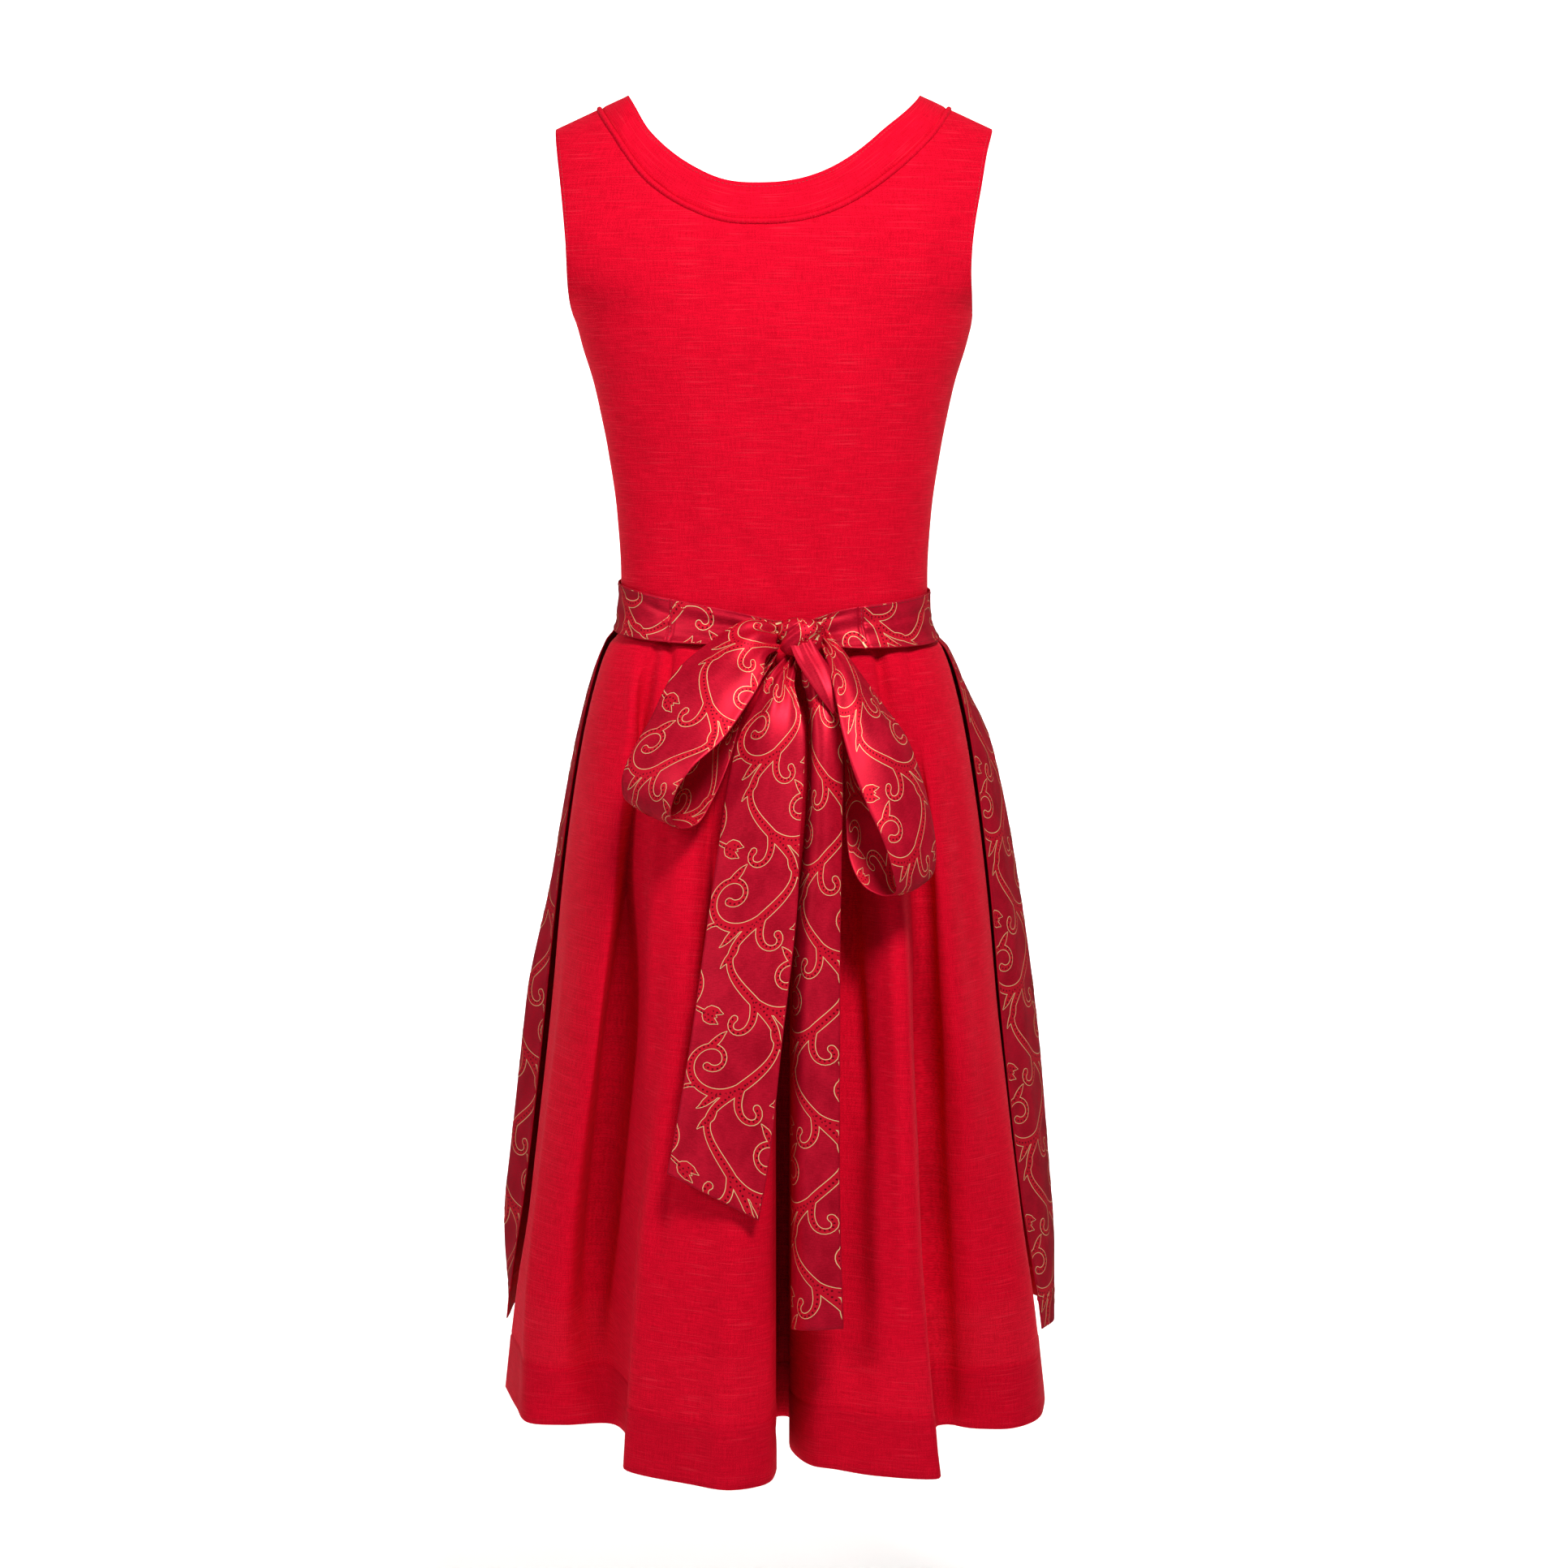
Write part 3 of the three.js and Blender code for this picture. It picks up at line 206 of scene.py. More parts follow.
TAIL_RIGHT = (
    (23, -112, -449, 33.5, -111, -446, 0), (22, -122, -464, 41, -126, -462, 4),
    (27, -130, -482, 48, -140, -481, 8), (28, -136, -505, 53, -150, -504, 12),
    (27.5, -145, -545, 54, -158, -545, 14), (23.5, -156, -600, 53, -169, -600, 12),
    (17, -164, -660, 52, -180, -660, 12), (14, -176, -760, 51.5, -200, -760, 15),
    (14, -196, -870, 51.5, -221, -868, 15), (14, -212, -968, 54, -239, -960, 15),
)
# The fold of the knot whose corner sticks out below it, given like the ribbons.
KNOT_FLAP = (
    (13, -125, -437, 29, -123, -432, 0), (18, -131, -449, 36, -128, -443, 2),
    (26, -139, -462, 44, -136, -455, 3), (36, -147, -476, 48, -145, -469, 2),
    (46.5, -152, -489, 48.5, -152, -487, 0),
)


# ---------------------------------------------------------------- numbers and curves

def evenly(count, low=0.0, high=1.0):
    """count + 1 numbers from low to high."""
    return np.linspace(low, high, count + 1)


def mix(a, b, share):
    """The value that lies share of the way from a to b."""
    return a + (b - a) * share


def eased(share):
    """A share from 0 to 1 that starts and ends softly."""
    return share * share * (3 - 2 * share)


def through(keys, values):
    """A smooth curve through rising keys and their values that never overshoots a value."""
    keys = np.asarray(keys, float)
    values = np.asarray(values, float)
    rise = np.diff(values) / np.diff(keys)
    slopes = np.empty_like(values)
    slopes[0], slopes[-1] = rise[0], rise[-1]
    for i in range(1, len(keys) - 1):
        before, after = rise[i - 1], rise[i]
        level = before * after <= 0
        slopes[i] = 0 if level else 2 * before * after / (before + after)

    def curve(key):
        at = np.clip(key, keys[0], keys[-1])
        i = np.clip(np.searchsorted(keys, at) - 1, 0, len(keys) - 2)
        span = keys[i + 1] - keys[i]
        s = (at - keys[i]) / span
        bend = s * (1 - s) * span * (slopes[i] * (1 - s) - slopes[i + 1] * s)
        return mix(values[i], values[i + 1], eased(s)) + bend

    return curve


def column(rows, place):
    """One column of a table as a curve over its first column."""
    rows = sorted(rows, key=lambda row: row[0])
    return through([row[0] for row in rows], [row[place] for row in rows])


def columns_of(rows, *names):
    """The columns of a table after its first, as curves under their names."""
    return {name: column(rows, place) for place, name in enumerate(names, 1)}


body = columns_of(BODY_ROWS, "half", "back", "front")
skirt = columns_of(SKIRT_ROWS, "half", "back", "front")
armhole = columns_of(ARMHOLE_ROWS, "back", "front")
sash = columns_of(SASH_ROWS, "top", "bottom")
neck_shift = column(NECK_SHIFT, 1)
neck_fade = column(NECK_FADE, 1)
armhole_shift = column(ARMHOLE_SHIFT, 1)


def hung_askew(points):
    """Points of the bodice where they hang."""
    moved = points.copy()
    x, z = points[..., 0], points[..., 2]
    share = np.clip((x - ARMHOLE_FROM) / (ARMHOLE_FULLY - ARMHOLE_FROM), 0, 1)
    moved[..., 0] += neck_shift(x) * neck_fade(z) + armhole_shift(z) * eased(share)
    return moved


def spline(points, places):
    """Centripetal Catmull-Rom curve through points (n, k), read at places from 0 to 1."""
    points = np.asarray(points, float)
    last = len(points) - 1
    padded = np.vstack([2 * points[0] - points[1], points, 2 * points[-1] - points[-2]])
    at = np.clip(np.asarray(places, float), 0, 1) * last
    i = np.minimum(at.astype(int), last - 1)
    weight = (at - i)[:, None]
    x0, x1, x2, x3 = (padded[i + k] for k in range(4))
    pace = [((b - a) ** 2).sum(1)[:, None] ** 0.25 for a, b in ((x0, x1), (x1, x2), (x2, x3))]
    pace[1] = np.where(pace[1] < 1e-4, 1.0, pace[1])
    pace[0] = np.where(pace[0] < 1e-4, pace[1], pace[0])
    pace[2] = np.where(pace[2] < 1e-4, pace[1], pace[2])
    d0, d1, d2 = pace
    t1 = ((x1 - x0) / d0 - (x2 - x0) / (d0 + d1) + (x2 - x1) / d1) * d1
    t2 = ((x2 - x1) / d1 - (x3 - x1) / (d1 + d2) + (x3 - x2) / d2) * d1
    c2 = -3 * x1 + 3 * x2 - 2 * t1 - t2
    c3 = 2 * x1 - 2 * x2 + t1 + t2
    return x1 + t1 * weight + c2 * weight**2 + c3 * weight**3


def uneven(i, least):
    """A share between least and 1 that differs from one fold to the next."""
    return mix(least, 1, 0.5 + 0.5 * math.cos(2.3 * i))


def unit(vectors):
    """Vectors at length 1."""
    return vectors / np.maximum(np.linalg.norm(vectors, axis=-1, keepdims=True), 1e-9)


def bell(distance, width):
    """1 at a crease's middle, falling softly to 0 at about twice its width."""
    return np.exp(-((distance / width) ** 2))


def window(value, low, high, soft):
    """1 between low and high, easing to 0 over soft on both sides."""
    rise = np.clip((value - low) / soft + 0.5, 0, 1)
    fall = np.clip((high - value) / soft + 0.5, 0, 1)
    return eased(rise) * eased(fall)


# ---------------------------------------------------------------- a cloth

class Cloth:
    """A cloth as a fine grid of points, its normals, and its own flat coordinates."""

    def __init__(self, grid, outward=None, across=None):
        self.grid = np.asarray(grid, float)
        self.outward = outward
        self.refresh()
        # Over 0 where painted light shows through a single cloth, under 0 where painted shade
        # darkens the doubled hem.
        self.thin = np.zeros(self.grid.shape[:2])
        # Coordinates for the weave where the cloth's own ones would bend it.
        self.threads = None
        # How far the wall's two faces lie before and behind the grid.
        self.front = self.rear = 0.0
        middle = self.grid[:, self.grid.shape[1] // 2]
        widest = max(self.grid, key=lambda row: np.linalg.norm(np.diff(row, axis=0), axis=1).sum())
        self.u = self.lengths(widest) if across is None else np.asarray(across, float)
        self.v = self.lengths(middle)

    @staticmethod
    def lengths(line):
        """Length along a line of points, up to each of them."""
        return np.concatenate([[0], np.cumsum(np.linalg.norm(np.diff(line, axis=0), axis=1))])

    def refresh(self):
        """Works out the normals again, pointing the way that `outward` says."""
        across = np.gradient(self.grid, axis=1)
        along = np.gradient(self.grid, axis=0)
        self.normals = unit(np.cross(across, along))
        if self.outward is not None:
            i, j = (n // 2 for n in self.grid.shape[:2])
            if self.normals[i, j] @ self.outward(self.grid[i, j]) < 0:
                self.normals = -self.normals

    def press(self, height):
        """Moves every point along its normal by height, a function of u and v in millimetres."""
        u, v = np.meshgrid(self.u, self.v)
        self.grid = self.grid + self.normals * height(u, v)[..., None]
        self.refresh()

    def at(self, u, v, lift):
        """Points `lift` above the cloth, at flat coordinates u and v."""
        j = np.interp(u, self.u, np.arange(len(self.u)))
        i = np.interp(v, self.v, np.arange(len(self.v)))
        i0 = np.minimum(i.astype(int), len(self.v) - 2)
        j0 = np.minimum(j.astype(int), len(self.u) - 2)
        a, b = (i - i0)[..., None], (j - j0)[..., None]

        def read(field):
            near = mix(field[i0, j0], field[i0, j0 + 1], b)
            far = mix(field[i0 + 1, j0], field[i0 + 1, j0 + 1], b)
            return mix(near, far, a)

        return read(self.grid) + unit(read(self.normals)) * np.asarray(lift)[..., None]


def away_from_axis(point):
    """Out from the body's upright axis."""
    return np.array([point[0], point[1], 0.0])


def colour(code):
    """A linear colour from an sRGB hex code."""
    shares = [int(code[i:i + 2], 16) / 255 for i in (1, 3, 5)]
    return [c / 12.92 if c <= 0.04045 else ((c + 0.055) / 1.055) ** 2.4 for c in shares] + [1.0]


def settings():
    """The sizes and colours that the panel shows."""
    return bpy.context.scene.dirndl


def tone(name):
    """A colour from the panel."""
    return list(getattr(settings(), name))


def size(name):
    """A size from the panel in millimetres."""
    return getattr(settings(), name) / MM


def make_object(name, points, faces, material, attributes):
    """A smooth mesh object from points in millimetres, with named vectors on its points."""
    mesh = bpy.data.meshes.new(name)
    mesh.from_pydata((np.asarray(points) * MM).tolist(), [], faces)
    mesh.polygons.foreach_set("use_smooth", [True] * len(mesh.polygons))
    for key, values in attributes.items():
        layer = mesh.attributes.new(key, "FLOAT_VECTOR", "POINT")
        layer.data.foreach_set("vector", np.asarray(values, np.float32).ravel())
    mesh.materials.append(material)
    mesh.update()
    made = bpy.data.objects.new(name, mesh)
    bpy.context.scene.collection.objects.link(made)
    return made


def signed_volume(points, faces):
    """Volume within the faces, negative where they face inward."""
    points = np.asarray(points)
    faces = np.asarray(faces)
    a, b, c, d = (points[faces[:, k]] for k in range(4))
    return (np.cross(a, b) * c).sum() + (np.cross(a, c) * d).sum()


def perimeter(rows, cols):
    """Grid places round the edge, once round."""
    top = [(0, j) for j in range(cols)]
    right = [(i, cols - 1) for i in range(1, rows)]
    bottom = [(rows - 1, j) for j in range(cols - 2, -1, -1)]
    left = [(i, 0) for i in range(rows - 2, 0, -1)]
    return np.array(top + right + bottom + left)


def cloth_object(name, cloth, wall, material, hollow=1.0):
    """A closed wall: the cloth's face, its reverse `wall` behind it, and a rounded edge between.

    hollow is 1 where the wall grows against the normals, and 0.5 where it grows both ways.
    """
    rows, cols = cloth.grid.shape[:2]
    front = cloth.grid + cloth.normals * wall * (1 - hollow)
    rear = cloth.grid - cloth.normals * wall * hollow
    rim = perimeter(rows, cols)
    inner = np.column_stack([np.clip(rim[:, 0], 1, rows - 2), np.clip(rim[:, 1], 1, cols - 2)])
    edge_front, edge_rear = front[rim[:, 0], rim[:, 1]], rear[rim[:, 0], rim[:, 1]]
    middle = (edge_front + edge_rear) / 2
    within = (front[inner[:, 0], inner[:, 1]] + rear[inner[:, 0], inner[:, 1]]) / 2
    round_edge = middle + unit(middle - within) * wall * 0.4
    points = np.vstack([front.reshape(-1, 3), rear.reshape(-1, 3), round_edge])
    index = np.arange(rows * cols).reshape(rows, cols)
    a, b, c, d = index[:-1, :-1], index[:-1, 1:], index[1:, 1:], index[1:, :-1]
    face = np.stack([a, b, c, d], -1).reshape(-1, 4)
    back = face[:, ::-1] + rows * cols
    ring = index[rim[:, 0], rim[:, 1]]
    step = np.roll(ring, -1)
    mid = 2 * rows * cols + np.arange(len(rim))
    mid_step = np.roll(mid, -1)
    upper = np.stack([step, ring, mid, mid_step], -1)
    lower = np.stack([mid_step, mid, ring + rows * cols, step + rows * cols], -1)
    faces = np.vstack([face, back, upper, lower])
    if signed_volume(points, faces) < 0:
        faces = faces[:, ::-1]
    u, v = np.meshgrid(cloth.u, cloth.v) if cloth.threads is None else cloth.threads
    flat = np.stack([u, v, cloth.thin], -1)
    flats = np.vstack([flat.reshape(-1, 3), flat.reshape(-1, 3), flat[rim[:, 0], rim[:, 1]]])
    return make_object(name, points, faces.tolist(), material, {"cloth": flats})


def mount_piece(piece, node):
    """Lets a piece ride on the dress and stand for its node."""
    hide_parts(node)
    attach(piece, "root")


cloths = {}
pieces = {}


def sew(name, cloth, node, slot, hollow=1.0):
    """Makes one cut piece: its wall and its place in the part."""
    wall = size(f"{slot}_wall")
    made = cloth_object(name, cloth, wall, material(slot), hollow)
    mount_piece(made, node)
    cloth.front, cloth.rear = wall * (1 - hollow), wall * hollow
    cloths[name] = cloth
    pieces[name] = made


def lay_on(cloth_name, made):
    """Lets a thin piece go with the cloth that it lies on."""
    made.parent = pieces[cloth_name]


# ---------------------------------------------------------------- the worn body

def section(turn):
    """Rounded cross-section of the body at a turn from centre back, as x and y shares."""
    s, c = np.sin(turn), np.cos(turn)
    swell = (np.abs(s) ** SQUARENESS + np.abs(c) ** SQUARENESS) ** (-1 / SQUARENESS)
    return s * swell, -c * swell


def turn_at_width(share):
    """The turn at which the cross-section has a share of its half width."""
    power = np.minimum(share, 0.9999) ** SQUARENESS
    return np.arctan((power / (1 - power)) ** (1 / SQUARENESS))


def shoulder_height(x):
    """Height of the shoulder seam at a distance x from the middle."""
    return -SHOULDER_SLOPE * np.maximum(np.abs(x) - NECK_HALF, 0)


def bodice_point(side, turn, z):
    """A point of the bodice's outer face, which rounds over the shoulder."""
    across, deep = section(turn)
    x = body["half"](z) * across
    drop = np.clip((shoulder_height(x) - z) / SHOULDER_ROLL, 0, 1)
    roll = np.sqrt(1 - (1 - drop) ** 2)
    depth = body[side](z) * np.abs(deep) * roll
    return np.stack([x, -depth if side == "back" else depth, z * np.ones_like(x)], -1)


def neck_curve(side, share, q):
    """The neckline at share 0 and the neckband's seam at share 1; q runs centre to shoulder."""
    half = NECK_HALF + BAND_SIDE * share
    middle = -NECK_DROP[side] - BAND_MIDDLE * share
    return half * q, mix(middle, shoulder_height(half), q**NECK_POWER)


def body_turn(x, z):
    """The turn of a place on the bodice at distance x from the middle and height z."""
    return turn_at_width(np.abs(x) / body["half"](z))


def neck_point(side, share, q):
    """A point on the worn bodice beside the neck; q is negative on the left."""
    x, z = neck_curve(side, share, np.abs(q))
    point = bodice_point(side, body_turn(x, z), z)
    point[..., 0] = np.sign(q) * x
    return point


def beside(side, q, past):
    """Share at which cloth ends beside the piping: -1 at the neckband's edge, 1 at the panel's."""
    width = np.linalg.norm(neck_point(side, 0.0, q) - neck_point(side, 1.0, q), axis=-1)
    return 1 + past * size("piping_radius") / (BAND_SLANT * width)


def bodice_place(side, u, v):
    """Turn and height on half a panel: u from the middle to the side seam, v up from the waist."""
    q = np.minimum(u / NECK_SHARE, 1)
    top_x, top_z = neck_curve(side, beside(side, q, 0.5), q)
    corner_x = neck_curve(side, beside(side, np.array(1.0), 0.5), np.array(1.0))[0]
    past = np.clip((u - NECK_SHARE) / (1 - NECK_SHARE), 0, 1)
    over = mix(corner_x, SHOULDER_TIP, past)
    top_x = np.where(u > NECK_SHARE, over, top_x)
    top_z = np.where(u > NECK_SHARE, shoulder_height(over), top_z)
    tip_z = shoulder_height(SHOULDER_TIP)
    side_z = mix(WAIST_Z, tip_z, v)
    at_armhole = body_turn(armhole[side](side_z), side_z)
    side_turn = np.where(side_z < UNDERARM_Z, math.pi / 2, at_armhole)
    pull = (side_turn - mix(math.pi / 2, body_turn(SHOULDER_TIP, tip_z), v)) * u**ARMHOLE_PULL
    turn = mix(u * math.pi / 2, body_turn(top_x, top_z), v) + pull
    return turn, mix(WAIST_Z, top_z, v)


ALONG_BODICE = (0, 0.12, 0.26, 0.39, 0.51, 0.62, 0.71, 0.79, 0.86, 0.92, 0.968, 1)
ALONG_SKIRT = (0, 0.018, 0.034, 0.07, 0.12, 0.19, 0.27, 0.36, 0.46, 0.57, 0.68, 0.79, 0.9, 1)


def finer(places, times):
    """The same places with times steps between each two."""
    last = len(places) - 1
    return np.interp(evenly(last * times, 0, last), np.arange(last + 1), places)


def mirrored(places):
    """Places from a middle of 0 to both sides."""
    return np.concatenate([-places[:0:-1], places])


def creases(rows):
    """Height of soft creases from x z to x z in millimetres: depth, then width."""
    def height(x, z):
        total = np.zeros_like(x)
        for x0, z0, x1, z1, depth, width in rows:
            run = np.array([x1 - x0, z1 - z0], float)
            length = np.hypot(*run)
            s = ((x - x0) * run[0] + (z - z0) * run[1]) / length**2
            off = ((x - x0) * run[1] - (z - z0) * run[0]) / length
            fade = window(s, 0, 1, 0.55)
            total += depth * bell(off, width) * fade
        return total
    return height


def crease_cloth(cloth, rows):
    """Presses creases, given as seen from behind or before, into a cloth."""
    height = creases(rows)(cloth.grid[..., 0], cloth.grid[..., 2])
    cloth.grid = cloth.grid + cloth.normals * height[..., None]
    cloth.refresh()


# ---------------------------------------------------------------- bodice and neckline

BODICE_COLUMNS = np.concatenate([
    NECK_SHARE * (1 - (1 - evenly(56)) ** TO_SHOULDER),
    evenly(14, NECK_SHARE, 1)[1:],
])
# Strained and slack places of the worn back: x z to x z, depth, width.
BACK_CREASES = (
    (-72, -270, -66, -420, -1.1, 9), (-30, -352, 12, -412, -1.5, 7),
    (-52, -345, -34, -415, 0.9, 10), (-122, -268, -104, -306, -1.6, 11),
    (-60, -255, 66, -262, -0.5, 8), (30, -330, 44, -418, -0.8, 9), (-108, -390, -60, -372, 0.8, 8),
    (64, -375, 108, -402, -1.0, 9), (118, -330, 112, -400, -0.9, 9),
    (-70, -150, 70, -156, -0.5, 10), (-150, -110, -120, -160, 0.8, 12),
    (150, -108, 124, -165, -0.7, 12), (-10, -200, 2, -330, -0.5, 12),
)
FRONT_CREASES = (
    (-60, -262, -46, -420, -1.2, 10), (62, -258, 48, -420, -1.1, 10),
    (-128, -214, -84, -236, 1.0, 10), (128, -210, 86, -238, 1.0, 10),
    (-100, -330, -96, -418, -0.9, 9), (98, -336, 92, -418, -0.8, 9),
)


BODICE_FINER = 8               # rows of the grid between two places of ALONG_BODICE
THREAD_RADIUS = 150.0          # turns a level angle into millimetres along the threads
THREAD_AXIS = 40.0             # how far behind the middle that angle is taken


def bodice_panel(side, columns):
    """The grid of a bodice panel, from the waist up, over columns that are negative on the left."""
    u, v = np.meshgrid(np.abs(columns), finer(ALONG_BODICE, BODICE_FINER))
    turn, z = bodice_place(side, u, v)
    grid = bodice_point(side, turn, z)
    at_shoulder = np.abs(columns) > NECK_SHARE - 0.001
    grid[-1, at_shoulder, 1] = -SHOULDER_GAP if side == "back" else SHOULDER_GAP
    grid[..., 0] *= np.where(columns < 0, -1, 1)
    cloth = Cloth(hung_askew(grid), away_from_axis)
    # The threads run level and upright in the panel, whatever the way of its edges.
    angle = np.arctan2(grid[..., 0], np.abs(grid[..., 1]) + THREAD_AXIS)
    cloth.threads = (angle * THREAD_RADIUS, grid[..., 2])
    return cloth


def neckband_cloth(side, q):
    """The neckband between the neckline and the piping, with its turned edge and its stitching."""
    rows = []
    for share in evenly(14):
        rows.append(neck_point(side, share * beside(side, q, -0.5), q))
    cloth = Cloth(hung_askew(np.array(rows)), away_from_axis)
    depth = cloth.v[-1]

    def turned_edge(u, v):
        # A rolled edge and its line of stitches, a dip at the piping, and a slight pucker.
        edge = 0.45 * bell(v - 1.2, 1.5) - 0.5 * bell(v - 2.6, 0.9)
        return edge - 1.0 * bell(depth - v, 2.2) + 0.25 * np.sin(u / 23) * np.sin(v / depth * 3.1)

    cloth.press(turned_edge)
    return cloth


def closed_tube(points, index):
    """The faces round rows of points and over both ends of the tube, all facing outward."""
    a, b = index[:-1], index[1:]
    faces = np.stack([a, np.roll(a, -1, 1), np.roll(b, -1, 1), b], -1).reshape(-1, 4)
    caps = [index[0][::-1].tolist(), index[-1].tolist()]
    if signed_volume(points, faces) < 0:
        faces = faces[:, ::-1]
        caps = [cap[::-1] for cap in caps]
    return faces.tolist() + caps


def cord_tube(name, centres, normals, radius, sides, slot):
    """A corded piping: a closed round tube of cloth along its centre line."""
    onward = unit(np.gradient(centres, axis=0))
    normals = unit(normals - (normals * onward).sum(1)[:, None] * onward)
    across = np.cross(normals, onward)
    angle = evenly(sides, 0, 2 * math.pi)[:-1]
    ring = normals[:, None] * np.cos(angle)[:, None] + across[:, None] * np.sin(angle)[:, None]
    points = (centres[:, None] + ring * radius).reshape(-1, 3)
    index = np.arange(len(points)).reshape(len(centres), sides)
    along = np.repeat(Cloth.lengths(centres), sides)
    flat = np.stack([np.tile(angle * radius, len(centres)), along, np.zeros(len(points))], -1)
    return make_object(name, points, closed_tube(points, index), material(slot), {"cloth": flat})


def piping_cord(name, side, q, node):
    """The piping in the seam under the neckband, standing a little out of the cloth."""
    point = neck_point(side, np.ones_like(q), q)
    inward = neck_point(side, beside(side, q, -1), q) - neck_point(side, beside(side, q, 1), q)
    normal = unit(np.cross(inward, np.gradient(point, axis=0)))
    away = point * (1, 1, 0)
    away[:, 2] = -NECK_DROP["back"] * SHOULDER_SLOPE - point[:, 2]
    normal *= np.where((normal * away).sum(1) < 0, -1, 1)[:, None]
    centre = point + normal * (PIPING_RISE - size("linen_wall") / 2)
    made = cord_tube(name, hung_askew(centre), normal, size("piping_radius"), PIPING_SIDES, "linen")
    mount_piece(made, node)


CENTRE_GAP = 0.0004            # share of the neck between the centre front and each half


def build_bodice():
    """The back and the two front halves."""
    back = bodice_panel("back", mirrored(BODICE_COLUMNS))
    crease_cloth(back, BACK_CREASES)
    sew("bodice_back_linen", back, "bodice_back", "linen")
    for name, sign in (("left", -1), ("right", 1)):
        columns = BODICE_COLUMNS.copy()
        columns[0] = CENTRE_GAP / 4
        half = bodice_panel("front", columns * sign)
        crease_cloth(half, FRONT_CREASES)
        sew(f"bodice_front_{name}_linen", half, f"bodice_front_{name}", "linen")


def build_neckline():
    """The faced neckband in three pieces, and the corded piping under it."""
    places = 1 - (1 - evenly(48)) ** TO_SHOULDER
    both = mirrored(places)
    sew("neckband_back_linen", neckband_cloth("back", both), "neckband_back", "linen")
    piping_cord("neck_piping_back_cord", "back", both, "neck_piping_back")
    for name, sign in (("left", -1), ("right", 1)):
        q = np.maximum(places, CENTRE_GAP) * sign
        sew(f"neckband_front_{name}_linen", neckband_cloth("front", q), f"neckband_front_{name}",
            "linen")
        piping_cord(f"neck_piping_front_{name}_cord", "front", q, f"neck_piping_front_{name}")


# ---------------------------------------------------------------- skirt and apron

# Soft creases that the hung linen keeps, seen from behind: x z to x z, depth, width.
SKIRT_CREASES = (
    (-84, -436, -92, -520, -6.0, 4.0), (82, -432, 94, -510, -6.0, 4.0),
    (-104, -440, -112, -540, -2.2, 6), (-62, -440, -60, -520, -3.0, 5),
    (108, -436, 124, -560, -2.4, 6), (60, -440, 62, -540, -3.5, 5), (-44, -470, -57, -700, -14, 5),
    (57, -470, 60, -670, -13, 5), (-52, -620, -72, -800, -11, 4.5), (-66, -740, -92, -900, -9, 5),
    (55, -560, 57, -700, -7, 5), (55, -590, 66, -800, -11, 6), (117, -560, 127, -800, -13, 6),
    (123, -740, 135, -980, -20, 7), (129, -880, 142, -1080, -14, 8), (-113, -480, -117, -650, 5, 5),
    (-118, -690, -150, -1000, -11, 12), (56, -680, 64, -1000, -9, 14),
    (-92, -560, -100, -800, 4, 7), (96, -640, 104, -960, 5, 8), (-30, -860, -40, -1070, 3, 14),
    (-132, -470, -152, -640, 1.2, 9), (-160, -560, -178, -780, -1.2, 8),
    (-170, -850, -186, -1040, 1.6, 12), (-60, -980, -20, -1000, -1.3, 9),
    (-90, -1030, -30, -1046, 1.2, 10), (-52, -930, -62, -1070, -1.2, 9),
    (152, -600, 172, -820, -1.3, 9), (160, -860, 184, -1040, -1.8, 10),
    (34, -985, 110, -1008, -1.2, 8), (40, -1040, 120, -1060, -1.4, 9),
    (188, -800, 202, -1010, 1.4, 10), (-196, -700, -206, -900, 1.2, 10),
    (16, -880, 44, -905, -1.0, 8), (-40, -1062, 10, -1050, -0.9, 8),
    (-100, -960, -44, -946, -1.0, 7), (60, -930, 104, -944, -0.9, 7),
    (-150, -700, -168, -760, 0.9, 8),
)
HEM_DEPTH_T = SKIRT_HEM / SKIRT_LENGTH


def skirt_point(turn, reach, t):
    """A place of the skirt's envelope times a reach, at a turn from centre back: x, y."""
    z = WAIST_Z - SKIRT_LENGTH * t
    squared = min(t / ROUNDS_OUT, 1)
    deep = skirt["back"](z) if np.cos(turn) > 0 else skirt["front"](z)
    across, down = section(turn)
    x = skirt["half"](z) * reach * mix(across, math.sin(turn), squared)
    y = deep * reach * mix(down, -math.cos(turn), squared)
    return x, y, z


def fold_places(folds, times):
    """Columns for a row of folds, times as many as the folds ask for."""
    last = len(folds) - 1
    places = [(i + part) / last for i in range(last) for part in evenly(folds[i][2] * times)[:-1]]
    return np.array(places + [1.0])


def pleated_grid(folds, levels, times):
    """Rows of the cloth down the skirt, each a smooth plan curve through the folds' places."""
    places = fold_places(folds, times)
    rows = []
    for t in levels:
        points = [skirt_point(math.radians(turn(t)), reach(t), t) for turn, reach, _ in folds]
        row = spline(points, places)
        row[:, 2] = WAIST_Z - SKIRT_LENGTH * t
        rows.append(row)
    return np.array(rows)


def hem_levels(levels, hem_t, depth_t):
    """The levels with a few more across the line of the hem's stitching."""
    line = hem_t - depth_t
    extra = line + np.array([-0.006, -0.003, -0.0015, 0, 0.0015, 0.003, 0.006])
    return np.unique(np.concatenate([levels, extra]))


def press_hem(cloth, line, depth):
    """A turned-up hem: the doubled part stands out a little below the line of stitching."""
    def height(u, v):
        doubled = 0.5 * np.clip((v - line) / 2.0, 0, 1)
        pull = 0.22 * np.sin(u / 9.0) * bell(v - line, 5.0)
        return doubled - depth * bell(v - line, 1.3) + pull
    cloth.press(height)


